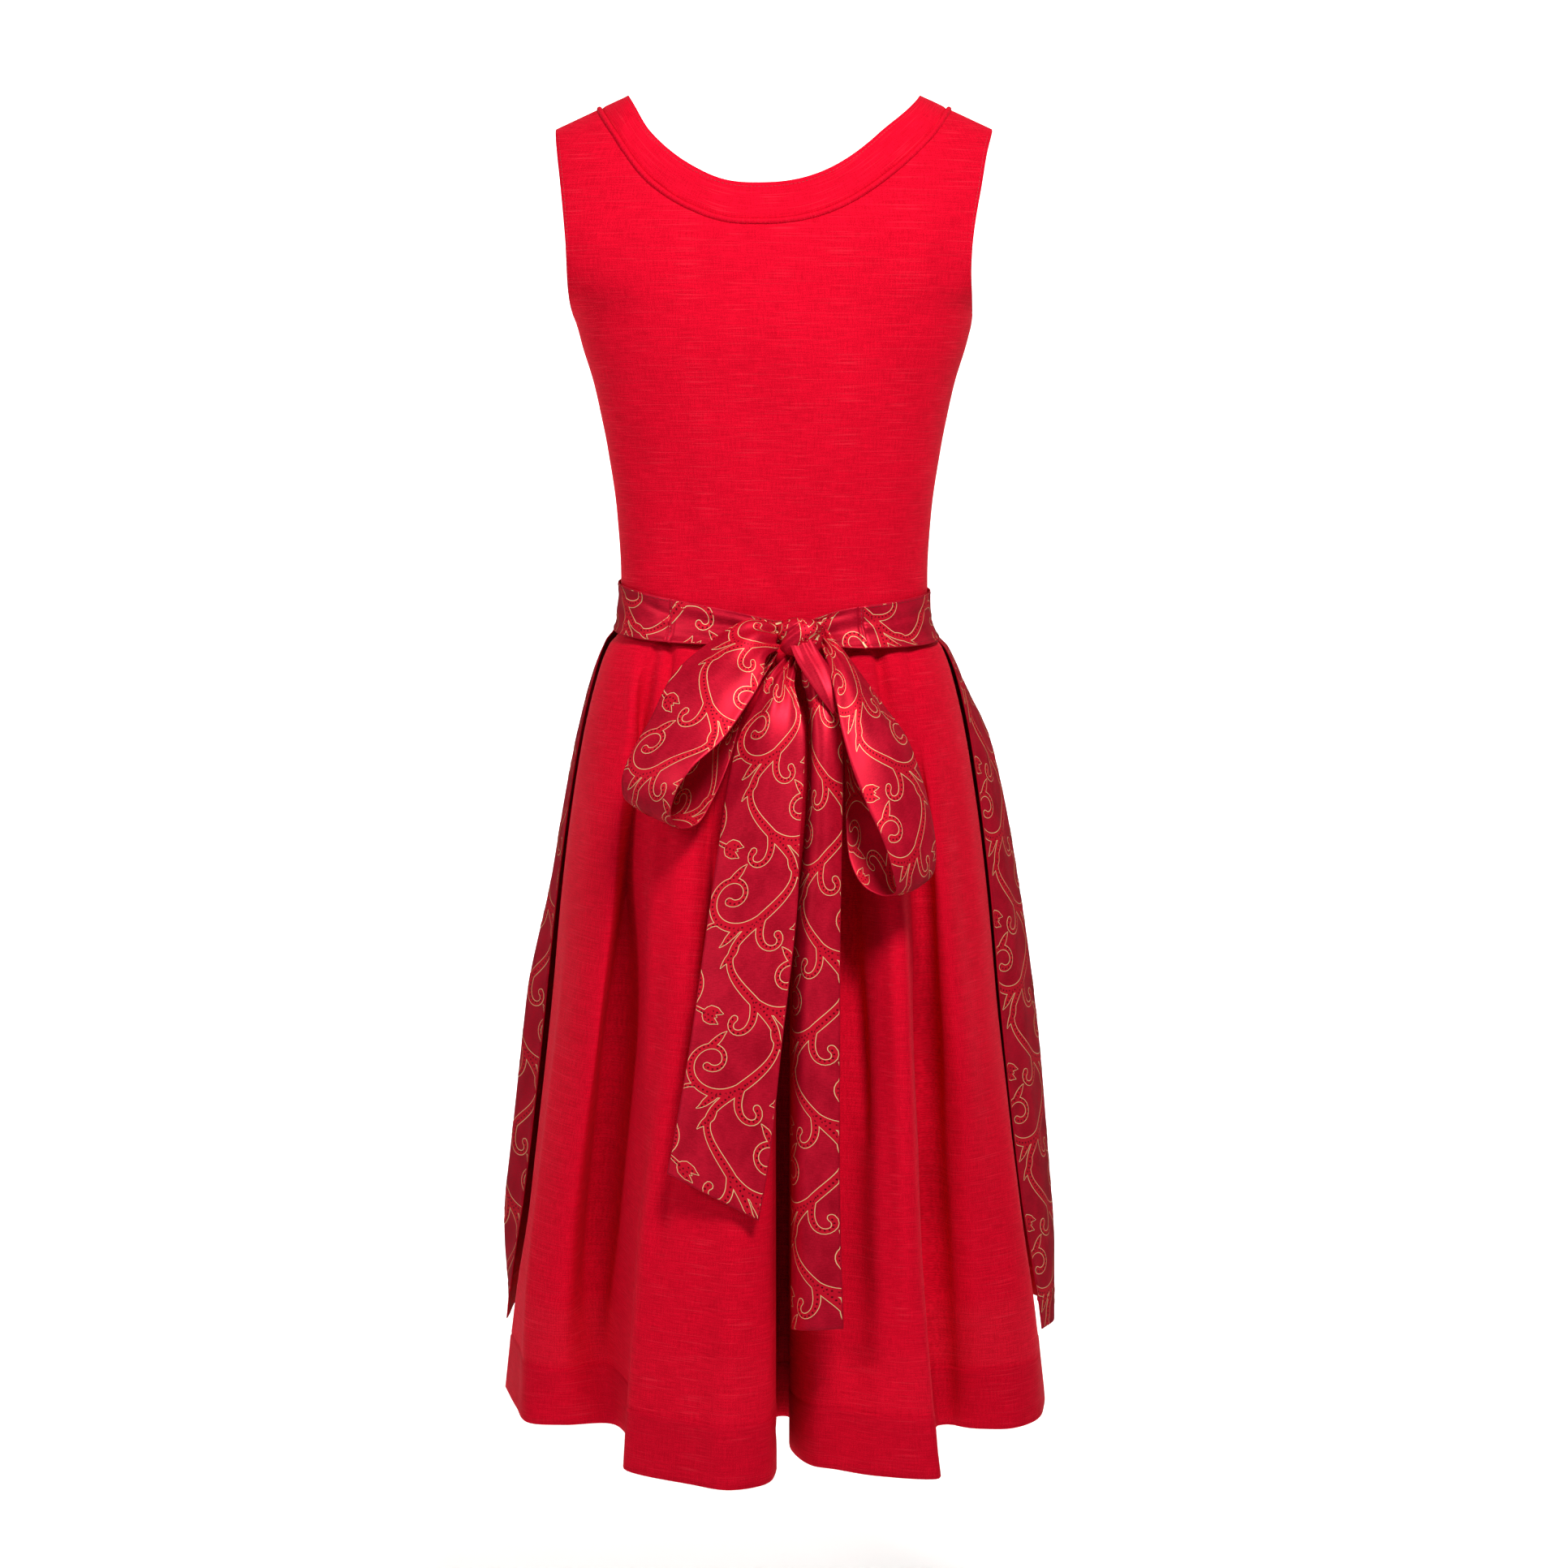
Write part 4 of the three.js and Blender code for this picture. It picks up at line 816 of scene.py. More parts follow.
def build_skirt():
    """The pleated back and the plain front of the skirt."""
    folds = [(through(FOLD_LEVELS, t), through(FOLD_LEVELS, r), s) for t, r, s in BACK_FOLDS]
    levels = hem_levels(finer(ALONG_SKIRT, 11), 1, HEM_DEPTH_T)
    back = Cloth(pleated_grid(folds, levels, 5), away_from_axis)
    crease_cloth(back, SKIRT_CREASES)
    press_hem(back, back.v[-1] - SKIRT_HEM, 0.45)
    # Painted light: light comes through above the hem, most of all at both sides, where the apron
    # ends, and is painted as a lighter colour.
    side = np.clip((np.abs(back.grid[..., 0]) - 105) / 40, 0, 1)
    above_hem = back.v[-1] - back.v
    painted_light_share = window(above_hem, 50, 98, 6)[:, None]
    # Painted shade: the doubled hem is marked to be darker, standing for the light that falls off
    # towards the bottom.
    doubled = np.clip((48 - above_hem) / 2, 0, 1)[:, None]
    back.thin = (0.25 + 0.75 * side) * painted_light_share - doubled
    sew("skirt_back_linen", back, "skirt_back", "linen")

    side = through(FOLD_LEVELS, SIDE_REACH)
    folds = []
    for i, turn in enumerate(evenly(FRONT_FOLDS * 2, 90, 270)):
        sink = (i % 2) * FRONT_FOLD_DEPTH * uneven(i, 0.2)
        folds.append((
            lambda t, turn=turn: turn,
            lambda t, sink=sink: side(t) - sink * min(2 * t, 1),
            2,
        ))
    levels = hem_levels(finer(ALONG_SKIRT, 7), 1, HEM_DEPTH_T)
    front = Cloth(pleated_grid(folds, levels, 4), away_from_axis)
    press_hem(front, front.v[-1] - SKIRT_HEM, 0.45)
    sew("skirt_front_linen", front, "skirt_front", "linen")


def sash_height(degrees, share):
    """Height of the satin round the waist: share 0 is its lower edge, 1 its upper one."""
    from_middle = np.abs(((degrees + 180) % 360) - 180)
    tilt = -SASH_TILT * np.sin(np.radians(degrees))
    return mix(sash["bottom"](from_middle), sash["top"](from_middle), share) + tilt


def sash_point(turn, z, out):
    """A point on the satin round the waist, `out` outside the linen."""
    above = z > WAIST_Z
    half = np.where(above, body["half"](z), skirt["half"](z))
    behind = np.where(above, body["back"](z), skirt["back"](z))
    before = np.where(above, body["front"](z), skirt["front"](z))
    across, deep = section(turn)
    depth = np.where(np.cos(turn) > 0, behind, before)
    return np.stack([(half + out) * across, (depth + out) * deep, z], -1)


def build_apron():
    """The gathered apron, hanging from its waistband and open at the back."""
    def row(turn, reach):
        curve = through(APRON_LEVELS, reach)
        return (lambda t: turn, curve, 2)

    front = through(APRON_LEVELS, APRON_FRONT)
    wave = through(APRON_LEVELS, APRON_WAVE_DEPTH)
    gathers = []
    for i, turn in enumerate(evenly(APRON_WAVES * 2, *APRON_GATHERS)):
        swing = (1 if i % 2 == 0 else -1) * uneven(i, 0.5)
        gathers.append((
            lambda t, turn=turn: turn,
            lambda t, swing=swing: front(t) + wave(t) * swing,
            2,
        ))
    folds = [row(*r) for r in APRON_RIGHT] + gathers + [row(*r) for r in APRON_LEFT]
    top = (WAIST_Z - sash["bottom"](180.0) + APRON_SEAM * 0.4) / SKIRT_LENGTH
    hem = (WAIST_Z - APRON_HEM_Z) / SKIRT_LENGTH
    along = [top] + [t for t in ALONG_SKIRT if top + 0.005 < t < hem - 0.03] + [hem]
    levels = hem_levels(finer(along, 12), hem, APRON_HEM / SKIRT_LENGTH)
    grid = pleated_grid(folds, levels, 5)
    for i, t in enumerate(levels):
        degrees = np.degrees(np.arctan2(grid[i, :, 0], -grid[i, :, 1]))
        band = sash_height(degrees, 0.0) - APRON_SEAM * 0.4
        share = np.clip(1 - (t - top) / APRON_EVENS_OUT, 0, 1)
        grid[i, :, 2] += (band - (WAIST_Z - SKIRT_LENGTH * top)) * share
    cloth = Cloth(grid, away_from_axis)

    def gathered(u, v):
        # Uneven narrow pleats that fade below the band, over wide soft folds.
        pleats = np.cos(u / 3.9 + 1.3 * np.sin(u / 31)) + 0.6 * np.cos(u / 2.3 + 2)
        inside = window(u, PLAIN_EDGE, cloth.u[-1] - PLAIN_EDGE, 30)
        soft = 1.6 * np.cos(u / 17 + 1.1 * np.sin(u / 53)) * np.clip(v / 160, 0, 1)
        return inside * (0.75 * pleats * np.exp(-v / PLEATS_FADE) + 0.8 * soft)

    cloth.press(gathered)
    press_hem(cloth, cloth.v[-1] - APRON_HEM, 0.35)
    sew("apron_satin", cloth, "apron", "satin")


# ---------------------------------------------------------------- waistband, ties and bow


def build_waistband():
    """The apron's waistband and the two stretches of tie that go on to the knot."""
    turns, shares = np.meshgrid(
        evenly(240, TIE_SEAM["right"] + 0.02, 360 + TIE_SEAM["left"] - 0.02), evenly(22),
    )
    out = SASH_LIFT + SASH_FLARE * (1 - shares) ** 2
    grid = sash_point(np.radians(turns), sash_height(turns, shares), out)
    cloth = Cloth(grid, away_from_axis)

    def slack(u, v):
        # One long fold that wanders up and down the band, with a groove below it.
        s = v / cloth.v[-1]
        wander = 0.11 * np.sin(u / 47) + 0.08 * np.sin(u / 19 + 1)
        ends = 1 - 0.55 * window(u, 60, cloth.u[-1] - 60, 60)
        fold = 1.7 * bell(s - 0.42 - wander, 0.1) - 1.2 * bell(s - 0.68 + wander, 0.08)
        edge = 0.35 * bell(v - 1.6, 1.2) - 0.3 * bell(v - 3.4, 0.8)
        return ends * fold + edge

    cloth.press(slack)
    sew("apron_waistband_satin", cloth, "apron_waistband", "satin")
    for name in ("left", "right"):
        s, share = np.meshgrid(evenly(70), evenly(24))
        degrees = mix(TIE_SEAM[name], TIE_END[name], s)
        narrow = mix(share, 0.5 + (share - 0.5) * TIE_DRAWN_IN, s * s)
        out = SASH_LIFT + SASH_FLARE * (1 - share) ** 2 + TIE_LIFT * s**3
        grid = sash_point(np.radians(degrees), sash_height(degrees, narrow), out)
        cloth = Cloth(grid, away_from_axis)
        phase = 0.4 if name == "left" else 2.1

        def drawn_in(u, v, cloth=cloth, phase=phase):
            # Folds along the tie that deepen towards the knot, and the ridge of its seam.
            s, w = u / cloth.u[-1], v / cloth.v[-1]
            gather = np.cos(2 * math.pi * (2.2 * w + 0.35 * s) + phase)
            ends = window(w, 0.08, 0.92, 0.16)
            seam = 0.5 * bell(u - 1.0, 1.0) - 0.9 * bell(u - 3.4, 1.2)
            return ends * gather * (0.35 + 1.5 * s**1.5) + seam

        cloth.press(drawn_in)
        sew(f"tie_{name}_satin", cloth, f"tie_{name}", "satin")


RIBBON_ACROSS = 30
KNOT_LEVELS = 56
KNOT_PLACES = 96


def ribbon_cloth(rows, width, steps, gather, both_ends):
    """A ribbon through its rows of edges, `width` across when flat, gathered at the knot."""
    table = np.array(rows, float)
    places = evenly(steps)
    left, right = spline(table[:, 0:3], places), spline(table[:, 3:6], places)
    cup = through(evenly(len(rows) - 1), table[:, 6])(places)
    middle = left + right
    onward = np.vstack([
        middle[1] - middle[0], middle[2:] - middle[:-2], middle[-1] - middle[-2],
    ])
    normal = unit(np.cross(onward, right - left))
    w = evenly(RIBBON_ACROSS)
    grid = mix(left[:, None], right[:, None], w[:, None])
    grid = grid + normal[:, None] * (4 * w * (1 - w))[:, None] * cup[:, None, None]
    cloth = Cloth(grid, None, across=w * width)
    length = cloth.v[-1]

    def folds(u, v):
        # Narrow gathers that start at the knot, and wide folds that carry on along the ribbon.
        s = u / width
        near = np.exp(-v / 34) + (np.exp(-(length - v) / 30) if both_ends else 0)
        inside = window(s, 0.05, 0.95, 0.1)
        small = np.cos(2 * math.pi * (2.6 * s + v / 160) + 0.7)
        wide = np.cos(2 * math.pi * (1.1 * s - v / 210) + 2.0) * np.clip(v / 40, 0, 1)
        away = np.exp(-v / 150)
        return inside * (gather * near * small + 0.45 * gather * wide * away)

    cloth.press(folds)
    return cloth


RIBBON_WIDTH = 72.0
NARROW_WIDTH = 52.0
FLAP_WIDTH = 18.0
FLAP_STEPS = 60
FLAP_GATHER = 0.5
# Name, edges, width, steps along, height of the gathers, whether both ends go into the knot, flat
# size in metres, and the flat area in square metres where the gathers take up some of the width.
RIBBONS = (
    ("bow_loop_left", LOOP_LEFT, RIBBON_WIDTH, 210, 1.9, True, (0.072, 0.39), 0.018),
    ("bow_loop_right", LOOP_RIGHT, RIBBON_WIDTH, 230, 1.9, True, (0.072, 0.45), 0.018),
    ("bow_tail_left", TAIL_LEFT, RIBBON_WIDTH, 200, 2.3, False, (0.072, 0.44), None),
    ("bow_tail_right", TAIL_RIGHT, NARROW_WIDTH, 220, 1.3, False, (0.052, 0.54), None),
)


def knot_cloth():
    """The knot's wound satin, as a grid of levels by places round it."""
    tilts = evenly(KNOT_LEVELS, 0.02, math.pi - 0.02)
    turns = evenly(KNOT_PLACES, -math.pi, math.pi)
    tilt, turn = np.meshgrid(tilts, turns, indexing="ij")
    across, deep = section(turn)
    # The folds wind round the knot aslant, each with finer ones on it.
    phase = 2.1 * (tilt + turn / 1.7) + 0.45 * np.sin(2.0 * turn + 0.6)
    fold = 0.24 * (np.abs(np.cos(phase)) ** 0.6 - 0.62) + 0.03 * np.cos(5 * phase)
    girth = np.sin(tilt) ** 0.6 * (1 + fold * np.sin(tilt))
    return Cloth(np.stack([
        KNOT["x"] + KNOT["half"] * girth * across,
        KNOT["y"] + KNOT["depth"] * girth * deep,
        KNOT["z"] + KNOT["height"] * np.cos(tilt),
    ], -1), lambda point: np.array([0.0, -1.0, 0.0]))


def build_bow():
    """The knot, the two loops and the two hanging tails."""
    for name, rows, width, steps, gather, both_ends, flat, area in RIBBONS:
        cloth = ribbon_cloth(rows, width, steps, gather, both_ends)
        sew(f"{name}_satin", cloth, name, "satin",
            hollow=0.5)
    cloth = knot_cloth()
    rows, cols = cloth.grid.shape[:2]
    index = np.arange(rows * (cols - 1)).reshape(rows, cols - 1)
    points = cloth.grid[:, :-1].reshape(-1, 3)
    u, v = np.meshgrid(cloth.u[:-1], cloth.v)
    flat = np.stack([u, v, np.zeros_like(u)], -1).reshape(-1, 3)
    name = "bow_knot_satin"
    made = make_object(
        name, points, closed_tube(points, index), material("satin"), {"cloth": flat},
    )
    mount_piece(made, "bow_knot")
    pieces[name] = made
    cloths[name] = cloth
    flap = ribbon_cloth(KNOT_FLAP, FLAP_WIDTH, FLAP_STEPS, FLAP_GATHER, False)
    wall = size("satin_wall")
    lay_on(name, cloth_object("bow_knot_flap", flap, wall, material("satin"), 0.5))


# ---------------------------------------------------------------- ornament

TILE_WIDTH = 73.0
TILE_LENGTH = 110.0
PATTERN_SCALE = 1.2
VINE_SWING = 19.0
OUTLINE_PAST = 0.25           # how far the outline goes past its stroke
OUTLINE_LIFT = 0.12
FILL_LIFT = 0.24
EDGE_CLEAR = 0.5              # from the ornament to the edge of its cloth
LEAF = (1.7, 2.7, 2.1, 0.15)
PETAL = (1.0, 3.0, 2.5, 0.15)
# A running scroll of leaves, half a repeat: each stroke's name, what it grows from, where on it as a
# share of its length, how far it turns off it, its length, its bends in degrees a mm, half widths.
STROKES = (
    ("scroll", "vine", -0.036, 0, 103, (0.6, 2.0, 2.9, 3.3, 3.5, 4.2, 6.0, 8.4, 8.0),
     (2.4, 2.8, 3.0, 2.8, 2.5, 2.2, 1.7, 1.5, 2.6)),
    ("curl", "vine", -0.01, -17, 40, (-3.0, -2.6, -4.4, -8.0, -11.5, -11),
     (1.9, 2.5, 2.4, 1.9, 1.5, 2.4)),
    ("fork_leaf", "scroll", 0.2, -16, 19, (-3.5, -1, 6), LEAF),
    ("outer_leaf", "scroll", 0.7, -16, 15, (-3.5, -1, 6), LEAF),
    ("vine_leaf", "vine", 0.155, -29, 19, (4.5, 2, -6), LEAF),
    ("stalk", "scroll", 0.34, -20, 14, (-5, -3, 4), (1.5, 1.2, 1.3)),
    ("left_petal", "stalk", 1, -56, 14, (9, 3, -9), PETAL),
    ("middle_petal", "stalk", 1, 0, 10, (0, 0, 0), PETAL),
    ("right_petal", "stalk", 1, 56, 14, (-9, -3, 9), PETAL),
)


def vine_place(share):
    """Place and heading on the waving vine, at a share of its repeat."""
    angle = 2 * math.pi * share
    slope = VINE_SWING * 2 * math.pi / TILE_LENGTH * np.cos(angle)
    x = TILE_WIDTH / 2 + VINE_SWING * np.sin(angle)
    return np.stack([x, share * TILE_LENGTH], -1), np.arctan(slope)


def grown(place, heading, length, bends, halves):
    """A stroke from a place and heading: its points, headings and half widths."""
    steps = max(6, int(length / 2.1))
    share = evenly(steps)
    bend = np.interp(share, evenly(len(bends) - 1), np.radians(bends))
    turn = heading + np.concatenate([[0], np.cumsum(bend[:-1] * length / steps)])
    pace = np.column_stack([np.sin(turn), np.cos(turn)]) * length / steps
    points = place + np.vstack([[0, 0], np.cumsum((pace[:-1] + pace[1:]) / 2, axis=0)])
    return points, turn, np.interp(share, evenly(len(halves) - 1), halves)


def tile_strokes():
    """All the strokes of one repeat: the vine, the half repeat and its mirror image."""
    share = evenly(44)
    points, turn = vine_place(share)
    half = {"vine": (points, turn, 2.6 + 0.5 * np.cos(4 * math.pi * share))}
    for name, parent, at, off, length, bends, halves in STROKES:
        if parent == "vine":
            place, heading = vine_place(np.array(at))
        else:
            stem = half[parent]
            k = int(round((len(stem[0]) - 1) * at))
            place, heading = stem[0][k], stem[1][k]
        half[name] = grown(place, heading + math.radians(off), length, bends, halves)
    vine = half.pop("vine")
    flip = np.array([-1, 1])
    shift = np.array([TILE_WIDTH, TILE_LENGTH / 2])
    other = [(p * flip + shift, -t, h) for p, t, h in half.values()]
    return [vine] + list(half.values()) + other


def rounded(points, turn, half):
    """The stroke with a round end at both ends."""
    ahead = np.stack([np.sin(turn), np.cos(turn)], -1)
    out = np.array([0.55, 0.87, 1.0])
    kept = np.sqrt(np.maximum(1 - out**2, 0.01))
    first = points[0] - ahead[0] * (out[::-1] * half[0])[:, None]
    last = points[-1] + ahead[-1] * (out * half[-1])[:, None]
    turns = np.concatenate([[turn[0]] * 3, turn, [turn[-1]] * 3])
    halves = np.concatenate([kept[::-1] * half[0], half, kept * half[-1]])
    return np.vstack([first, points, last]), turns, halves


def band_layer(cloth, face, place, grow, lift):
    """The strokes of every repeat that meets the cloth, as bands laid on one of its faces.

    place turns pattern coordinates (across, along) into the cloth's u and v.
    """
    limit = np.array([cloth.u[-1], cloth.v[-1]])
    reach = place.reach(limit)
    points, faces, stems = [], [], []
    count = 0
    for column in range(reach[0][0], reach[0][1]):
        for row in range(reach[1][0], reach[1][1]):
            for stroke in TILE:
                along, turn, half = rounded(*stroke[:2], np.maximum(stroke[2] + grow, 0.03))
                side = np.stack([np.cos(turn), -np.sin(turn)], -1)
                across = half[:, None] * np.array([-1.0, 0.0, 1.0])
                flat = along[:, None] + side[:, None] * across[..., None]
                if column % 2:
                    flat = flat * (-1, 1) + (TILE_WIDTH, TILE_LENGTH / 2)
                flat = place.to_cloth(flat + (column * TILE_WIDTH, row * TILE_LENGTH))
                low, high = flat <= EDGE_CLEAR, flat >= limit - EDGE_CLEAR
                if low.all((0, 1)).any() or high.all((0, 1)).any():
                    continue
                index = np.arange(flat.shape[0] * 3).reshape(-1, 3) + count
                corner = [(slice(None, -1), slice(None, -1)), (slice(None, -1), slice(1, None)),
                          (slice(1, None), slice(1, None)), (slice(1, None), slice(None, -1))]
                outside = np.zeros((flat.shape[0] - 1, 2), bool)
                for side_out in (low, high):
                    outside |= np.all([side_out[c] for c in corner], axis=0).any(-1)
                quads = np.stack([index[c] for c in corner], -1)[~outside]
                flat = np.clip(flat, EDGE_CLEAR, limit - EDGE_CLEAR)
                height = cloth.front + lift if face == "front" else -cloth.rear - lift
                points.append(cloth.at(flat[..., 0], flat[..., 1], np.full(flat.shape[:2], height)))
                length = Cloth.lengths(along)
                stem = np.stack([
                    np.repeat(length[:, None], 3, 1), across, np.repeat(half[:, None], 3, 1)
                ], -1)
                stems.append(stem.reshape(-1, 3))
                faces.append(quads.reshape(-1, 4))
                count += index.size
    return np.concatenate([p.reshape(-1, 3) for p in points]), np.vstack(faces), np.vstack(stems)


class Placing:
    """How the pattern lies on a cloth: its shift, its scale across, and whether it runs along u."""

    def __init__(self, shift=(0.0, 0.0), scale=1.0, along_u=False):
        self.shift = np.array(shift)
        self.scale = np.array([scale, 1.0]) * PATTERN_SCALE
        self.along_u = along_u

    def to_cloth(self, pattern):
        """The cloth's u and v for places in the pattern."""
        flat = pattern * self.scale + self.shift
        return flat[..., ::-1] if self.along_u else flat

    def reach(self, limit):
        """First and last repeat across and along that may meet the cloth."""
        size = limit[::-1] if self.along_u else limit
        low = -self.shift / self.scale / (TILE_WIDTH, TILE_LENGTH)
        high = (size - self.shift) / self.scale / (TILE_WIDTH, TILE_LENGTH)
        return [(int(math.floor(a)) - 1, int(math.ceil(b)) + 1) for a, b in zip(low, high)]


PLACINGS = (
    ("apron_satin", ("front",), Placing((-9.0, -22.0))),
    ("apron_waistband_satin", ("front",), Placing((-14.0, -60.0), along_u=True)),
    ("tie_left_satin", ("front",), Placing((-16.0, 12.0), along_u=True)),
    ("tie_right_satin", ("front",), Placing((-16.0, -35.0), along_u=True)),
    ("bow_knot_satin", ("front",), Placing((-4.0, -18.0), along_u=True)),
    ("bow_loop_left_satin", ("front", "rear"), Placing((0.0, -38.0))),
    ("bow_loop_right_satin", ("front", "rear"), Placing((-6.0, -6.0))),
    ("bow_tail_left_satin", ("front", "rear"), Placing((2.0, 22.0))),
    ("bow_tail_right_satin", ("front", "rear"), Placing((-10.0, -26.0))),
)
TILE = tile_strokes()


def build_ornament():
    """The scroll ornament: a gold outline under a brighter fill, on every face that shows."""
    line = size("line_width") / PATTERN_SCALE
    layers = (
        ("outline", OUTLINE_PAST, OUTLINE_LIFT), ("fill", OUTLINE_PAST - line, FILL_LIFT),
    )
    for name, faces, place in PLACINGS:
        for face in faces:
            for kind, grow, lift in layers:
                points, quads, stems = band_layer(cloths[name], face, place, grow, lift)
                title = f"{name[:-6]}_{kind}_{face}"
                made = make_object(title, points, quads.tolist(), material(kind), {"stem": stems})
                lay_on(name, made)


# ---------------------------------------------------------------- stitching

STITCH_LENGTH = 2.4
STITCH_GAP = 0.8
# Along one stitch: share of its length, height, and half of its width as a share.
STITCH_SHARES = np.array([0.0, 0.15, 0.5, 0.85, 1.0])
STITCH_RISE = [0.0, 0.22, 0.32, 0.22, 0.0]
STITCH_HALVES = [0.15, 0.45, 0.5, 0.45, 0.15]


def stitches(name, cloth_name, points, normals, width=0.55, kind="thread"):
    """Small raised stitches along a line of points on a cloth, `width` across."""
    along = Cloth.lengths(points)
    last = along[-1] - STITCH_LENGTH - STITCH_GAP
    starts = np.arange(STITCH_GAP, last, STITCH_LENGTH + STITCH_GAP)
    at = (starts[:, None] + STITCH_SHARES * STITCH_LENGTH).ravel()

    def read(values):
        return np.column_stack([np.interp(at, along, values[:, k]) for k in range(3)])

    place = read(points)
    normal = unit(read(normals))
    onward = unit(read(np.gradient(points, axis=0)))
    side = np.cross(normal, onward)
    rise = np.tile(STITCH_RISE, len(starts))
    wide = np.tile(STITCH_HALVES, len(starts)) * width
    crown = place + normal * (rise + 0.1)[:, None]
    low = place - normal * 0.05
    rows = np.stack([low - side * wide[:, None], crown, low + side * wide[:, None]], 1)
    index = np.arange(len(at) * 3).reshape(len(starts), 5, 3)
    quads = np.stack([
        index[:, :-1, :-1], index[:, :-1, 1:], index[:, 1:, 1:], index[:, 1:, :-1],
    ], -1).reshape(-1, 4)
    made = make_object(name, rows.reshape(-1, 3), quads.tolist(), material(kind), {})
    lay_on(cloth_name, made)


def line_on(cloth, u, v):
    """Points and normals along a line given in the cloth's own coordinates."""
    u, v = np.broadcast_arrays(np.asarray(u, float), np.asarray(v, float))
    points = cloth.at(u, v, np.full(u.shape, cloth.front))
    normals = cloth.at(u, v, np.full(u.shape, cloth.front + 1.0)) - points
    return points, normals


def edge_line(cloth, column, inset, low, high):
    """A line beside an upright edge of a cloth, inset from it, between two heights."""
    step = 1 if column == 0 else -2
    edge, next_to = cloth.grid[:, column], cloth.grid[:, step]
    points = edge + unit(next_to - edge) * inset + cloth.normals[:, column] * cloth.front
    keep = (points[:, 2] > low) & (points[:, 2] < high)
    return points[keep], cloth.normals[:, column][keep]


def build_stitching():
    """The stitches at the neck, the armholes, the waistband, the tie seams and the tails."""
    for name in ("neckband_back_linen", "neckband_front_left_linen", "neckband_front_right_linen"):
        cloth = cloths[name]
        stitches(f"{name}_stitches", name, *line_on(cloth, cloth.u, 2.6))
    for name, columns in (("bodice_back_linen", (0, -1)), ("bodice_front_left_linen", (-1,)),
                          ("bodice_front_right_linen", (-1,))):
        for column in columns:
            line = edge_line(cloths[name], column, 3.2, UNDERARM_Z + 2, -32)
            stitches(f"{name}_armhole_stitches_{'first' if column == 0 else 'last'}", name, *line)
    cloth = cloths["apron_waistband_satin"]
    for place in (2.2, cloth.v[-1] - 2.0):
        title = f"waistband_stitches_{int(place)}"
        line = line_on(cloth, cloth.u, place)
        stitches(title, "apron_waistband_satin", *line, width=0.4, kind="satin_thread")
    for name in ("tie_left_satin", "tie_right_satin"):
        cloth = cloths[name]
        line = line_on(cloth, 1.8, np.linspace(1, cloth.v[-1] - 1, 60))
        stitches(f"{name}_seam_stitches", name, *line, width=0.5, kind="satin_thread")
    for name in ("bow_tail_left_satin", "bow_tail_right_satin"):
        cloth = cloths[name]
        v = np.linspace(6, cloth.v[-1] - 2, 260)
        for title, u in (("left", 2.0), ("right", cloth.u[-1] - 2.0)):
            line = line_on(cloth, u, v)
            stitches(f"{name}_stitches_{title}", name, *line, width=0.35, kind="satin_thread")


# ---------------------------------------------------------------- materials

def add_node(tree, kind, values=None, links=None, **options):
    """Adds a shader node with its options, its input values and the sockets that feed it."""
    node = tree.nodes.new(kind)
    for key, value in options.items():
        setattr(node, key, value)
    for key, value in (values or {}).items():
        node.inputs[key].default_value = value
    for key, socket in (links or {}).items():
        tree.links.new(socket, node.inputs[key])
    return node


def new_material(name, **values):
    """A material with a principled surface, whose even values stay on its sockets."""
    made = bpy.data.materials.new(name)
    made.use_nodes = True
    tree = made.node_tree
    tree.nodes.clear()
    surface = add_node(tree, "ShaderNodeBsdfPrincipled")
    for key, value in values.items():
        surface.inputs[key.replace("_", " ")].default_value = value
    add_node(tree, "ShaderNodeOutputMaterial", links={"Surface": surface.outputs[0]})
    return made, tree, surface


def cloth_noise(tree, attribute, across, along, detail=2.0):
    """Noise stretched to a size in millimetres across and along the cloth."""
    source = add_node(tree, "ShaderNodeAttribute", attribute_name=attribute)
    sized = add_node(
        tree, "ShaderNodeVectorMath", {1: (1 / across, 1 / along, 0.0)},
        {0: source.outputs["Vector"]}, operation="MULTIPLY",
    )
    noise = add_node(
        tree, "ShaderNodeTexNoise", {"Scale": 1.0, "Detail": detail},
        {"Vector": sized.outputs[0]}, noise_dimensions="2D",
    )
    return noise.outputs["Fac"]


def weighted(tree, terms):
    """The sum of sockets times weights."""
    total = None
    for socket, weight in terms:
        values = {1: weight} if total is not None else {1: weight, 2: 0.0}
        links = {0: socket} if total is None else {0: socket, 2: total}
        total = add_node(tree, "ShaderNodeMath", values, links, operation="MULTIPLY_ADD").outputs[0]
    return total


def mapped(tree, share, low, high, from_value=0.0, to_value=1.0):
    """A value from from_value to to_value as share goes from low to high."""
    spread = {1: low, 2: high, 3: from_value, 4: to_value}
    return add_node(tree, "ShaderNodeMapRange", spread, {0: share}, clamp=True).outputs[0]


def blended(tree, share, first, second):
    """A colour from the first to the second by a share; the first may be a socket."""
    values, links = {7: second}, {0: share}
    (links if isinstance(first, bpy.types.NodeSocket) else values)[6] = first
    return add_node(tree, "ShaderNodeMix", values, links, data_type="RGBA").outputs[2]


def two_tone(tree, share, low, high, dark, light):
    """A colour from dark to light as share goes from low to high."""
    return blended(tree, mapped(tree, share, low, high), dark, light)


def bumped(tree, surface, height, strength, distance):
    """Raises a surface by a height in the shader alone."""
    bump = add_node(
        tree, "ShaderNodeBump", {"Strength": strength, "Distance": distance}, {"Height": height},
    )
    tree.links.new(bump.outputs[0], surface.inputs["Normal"])


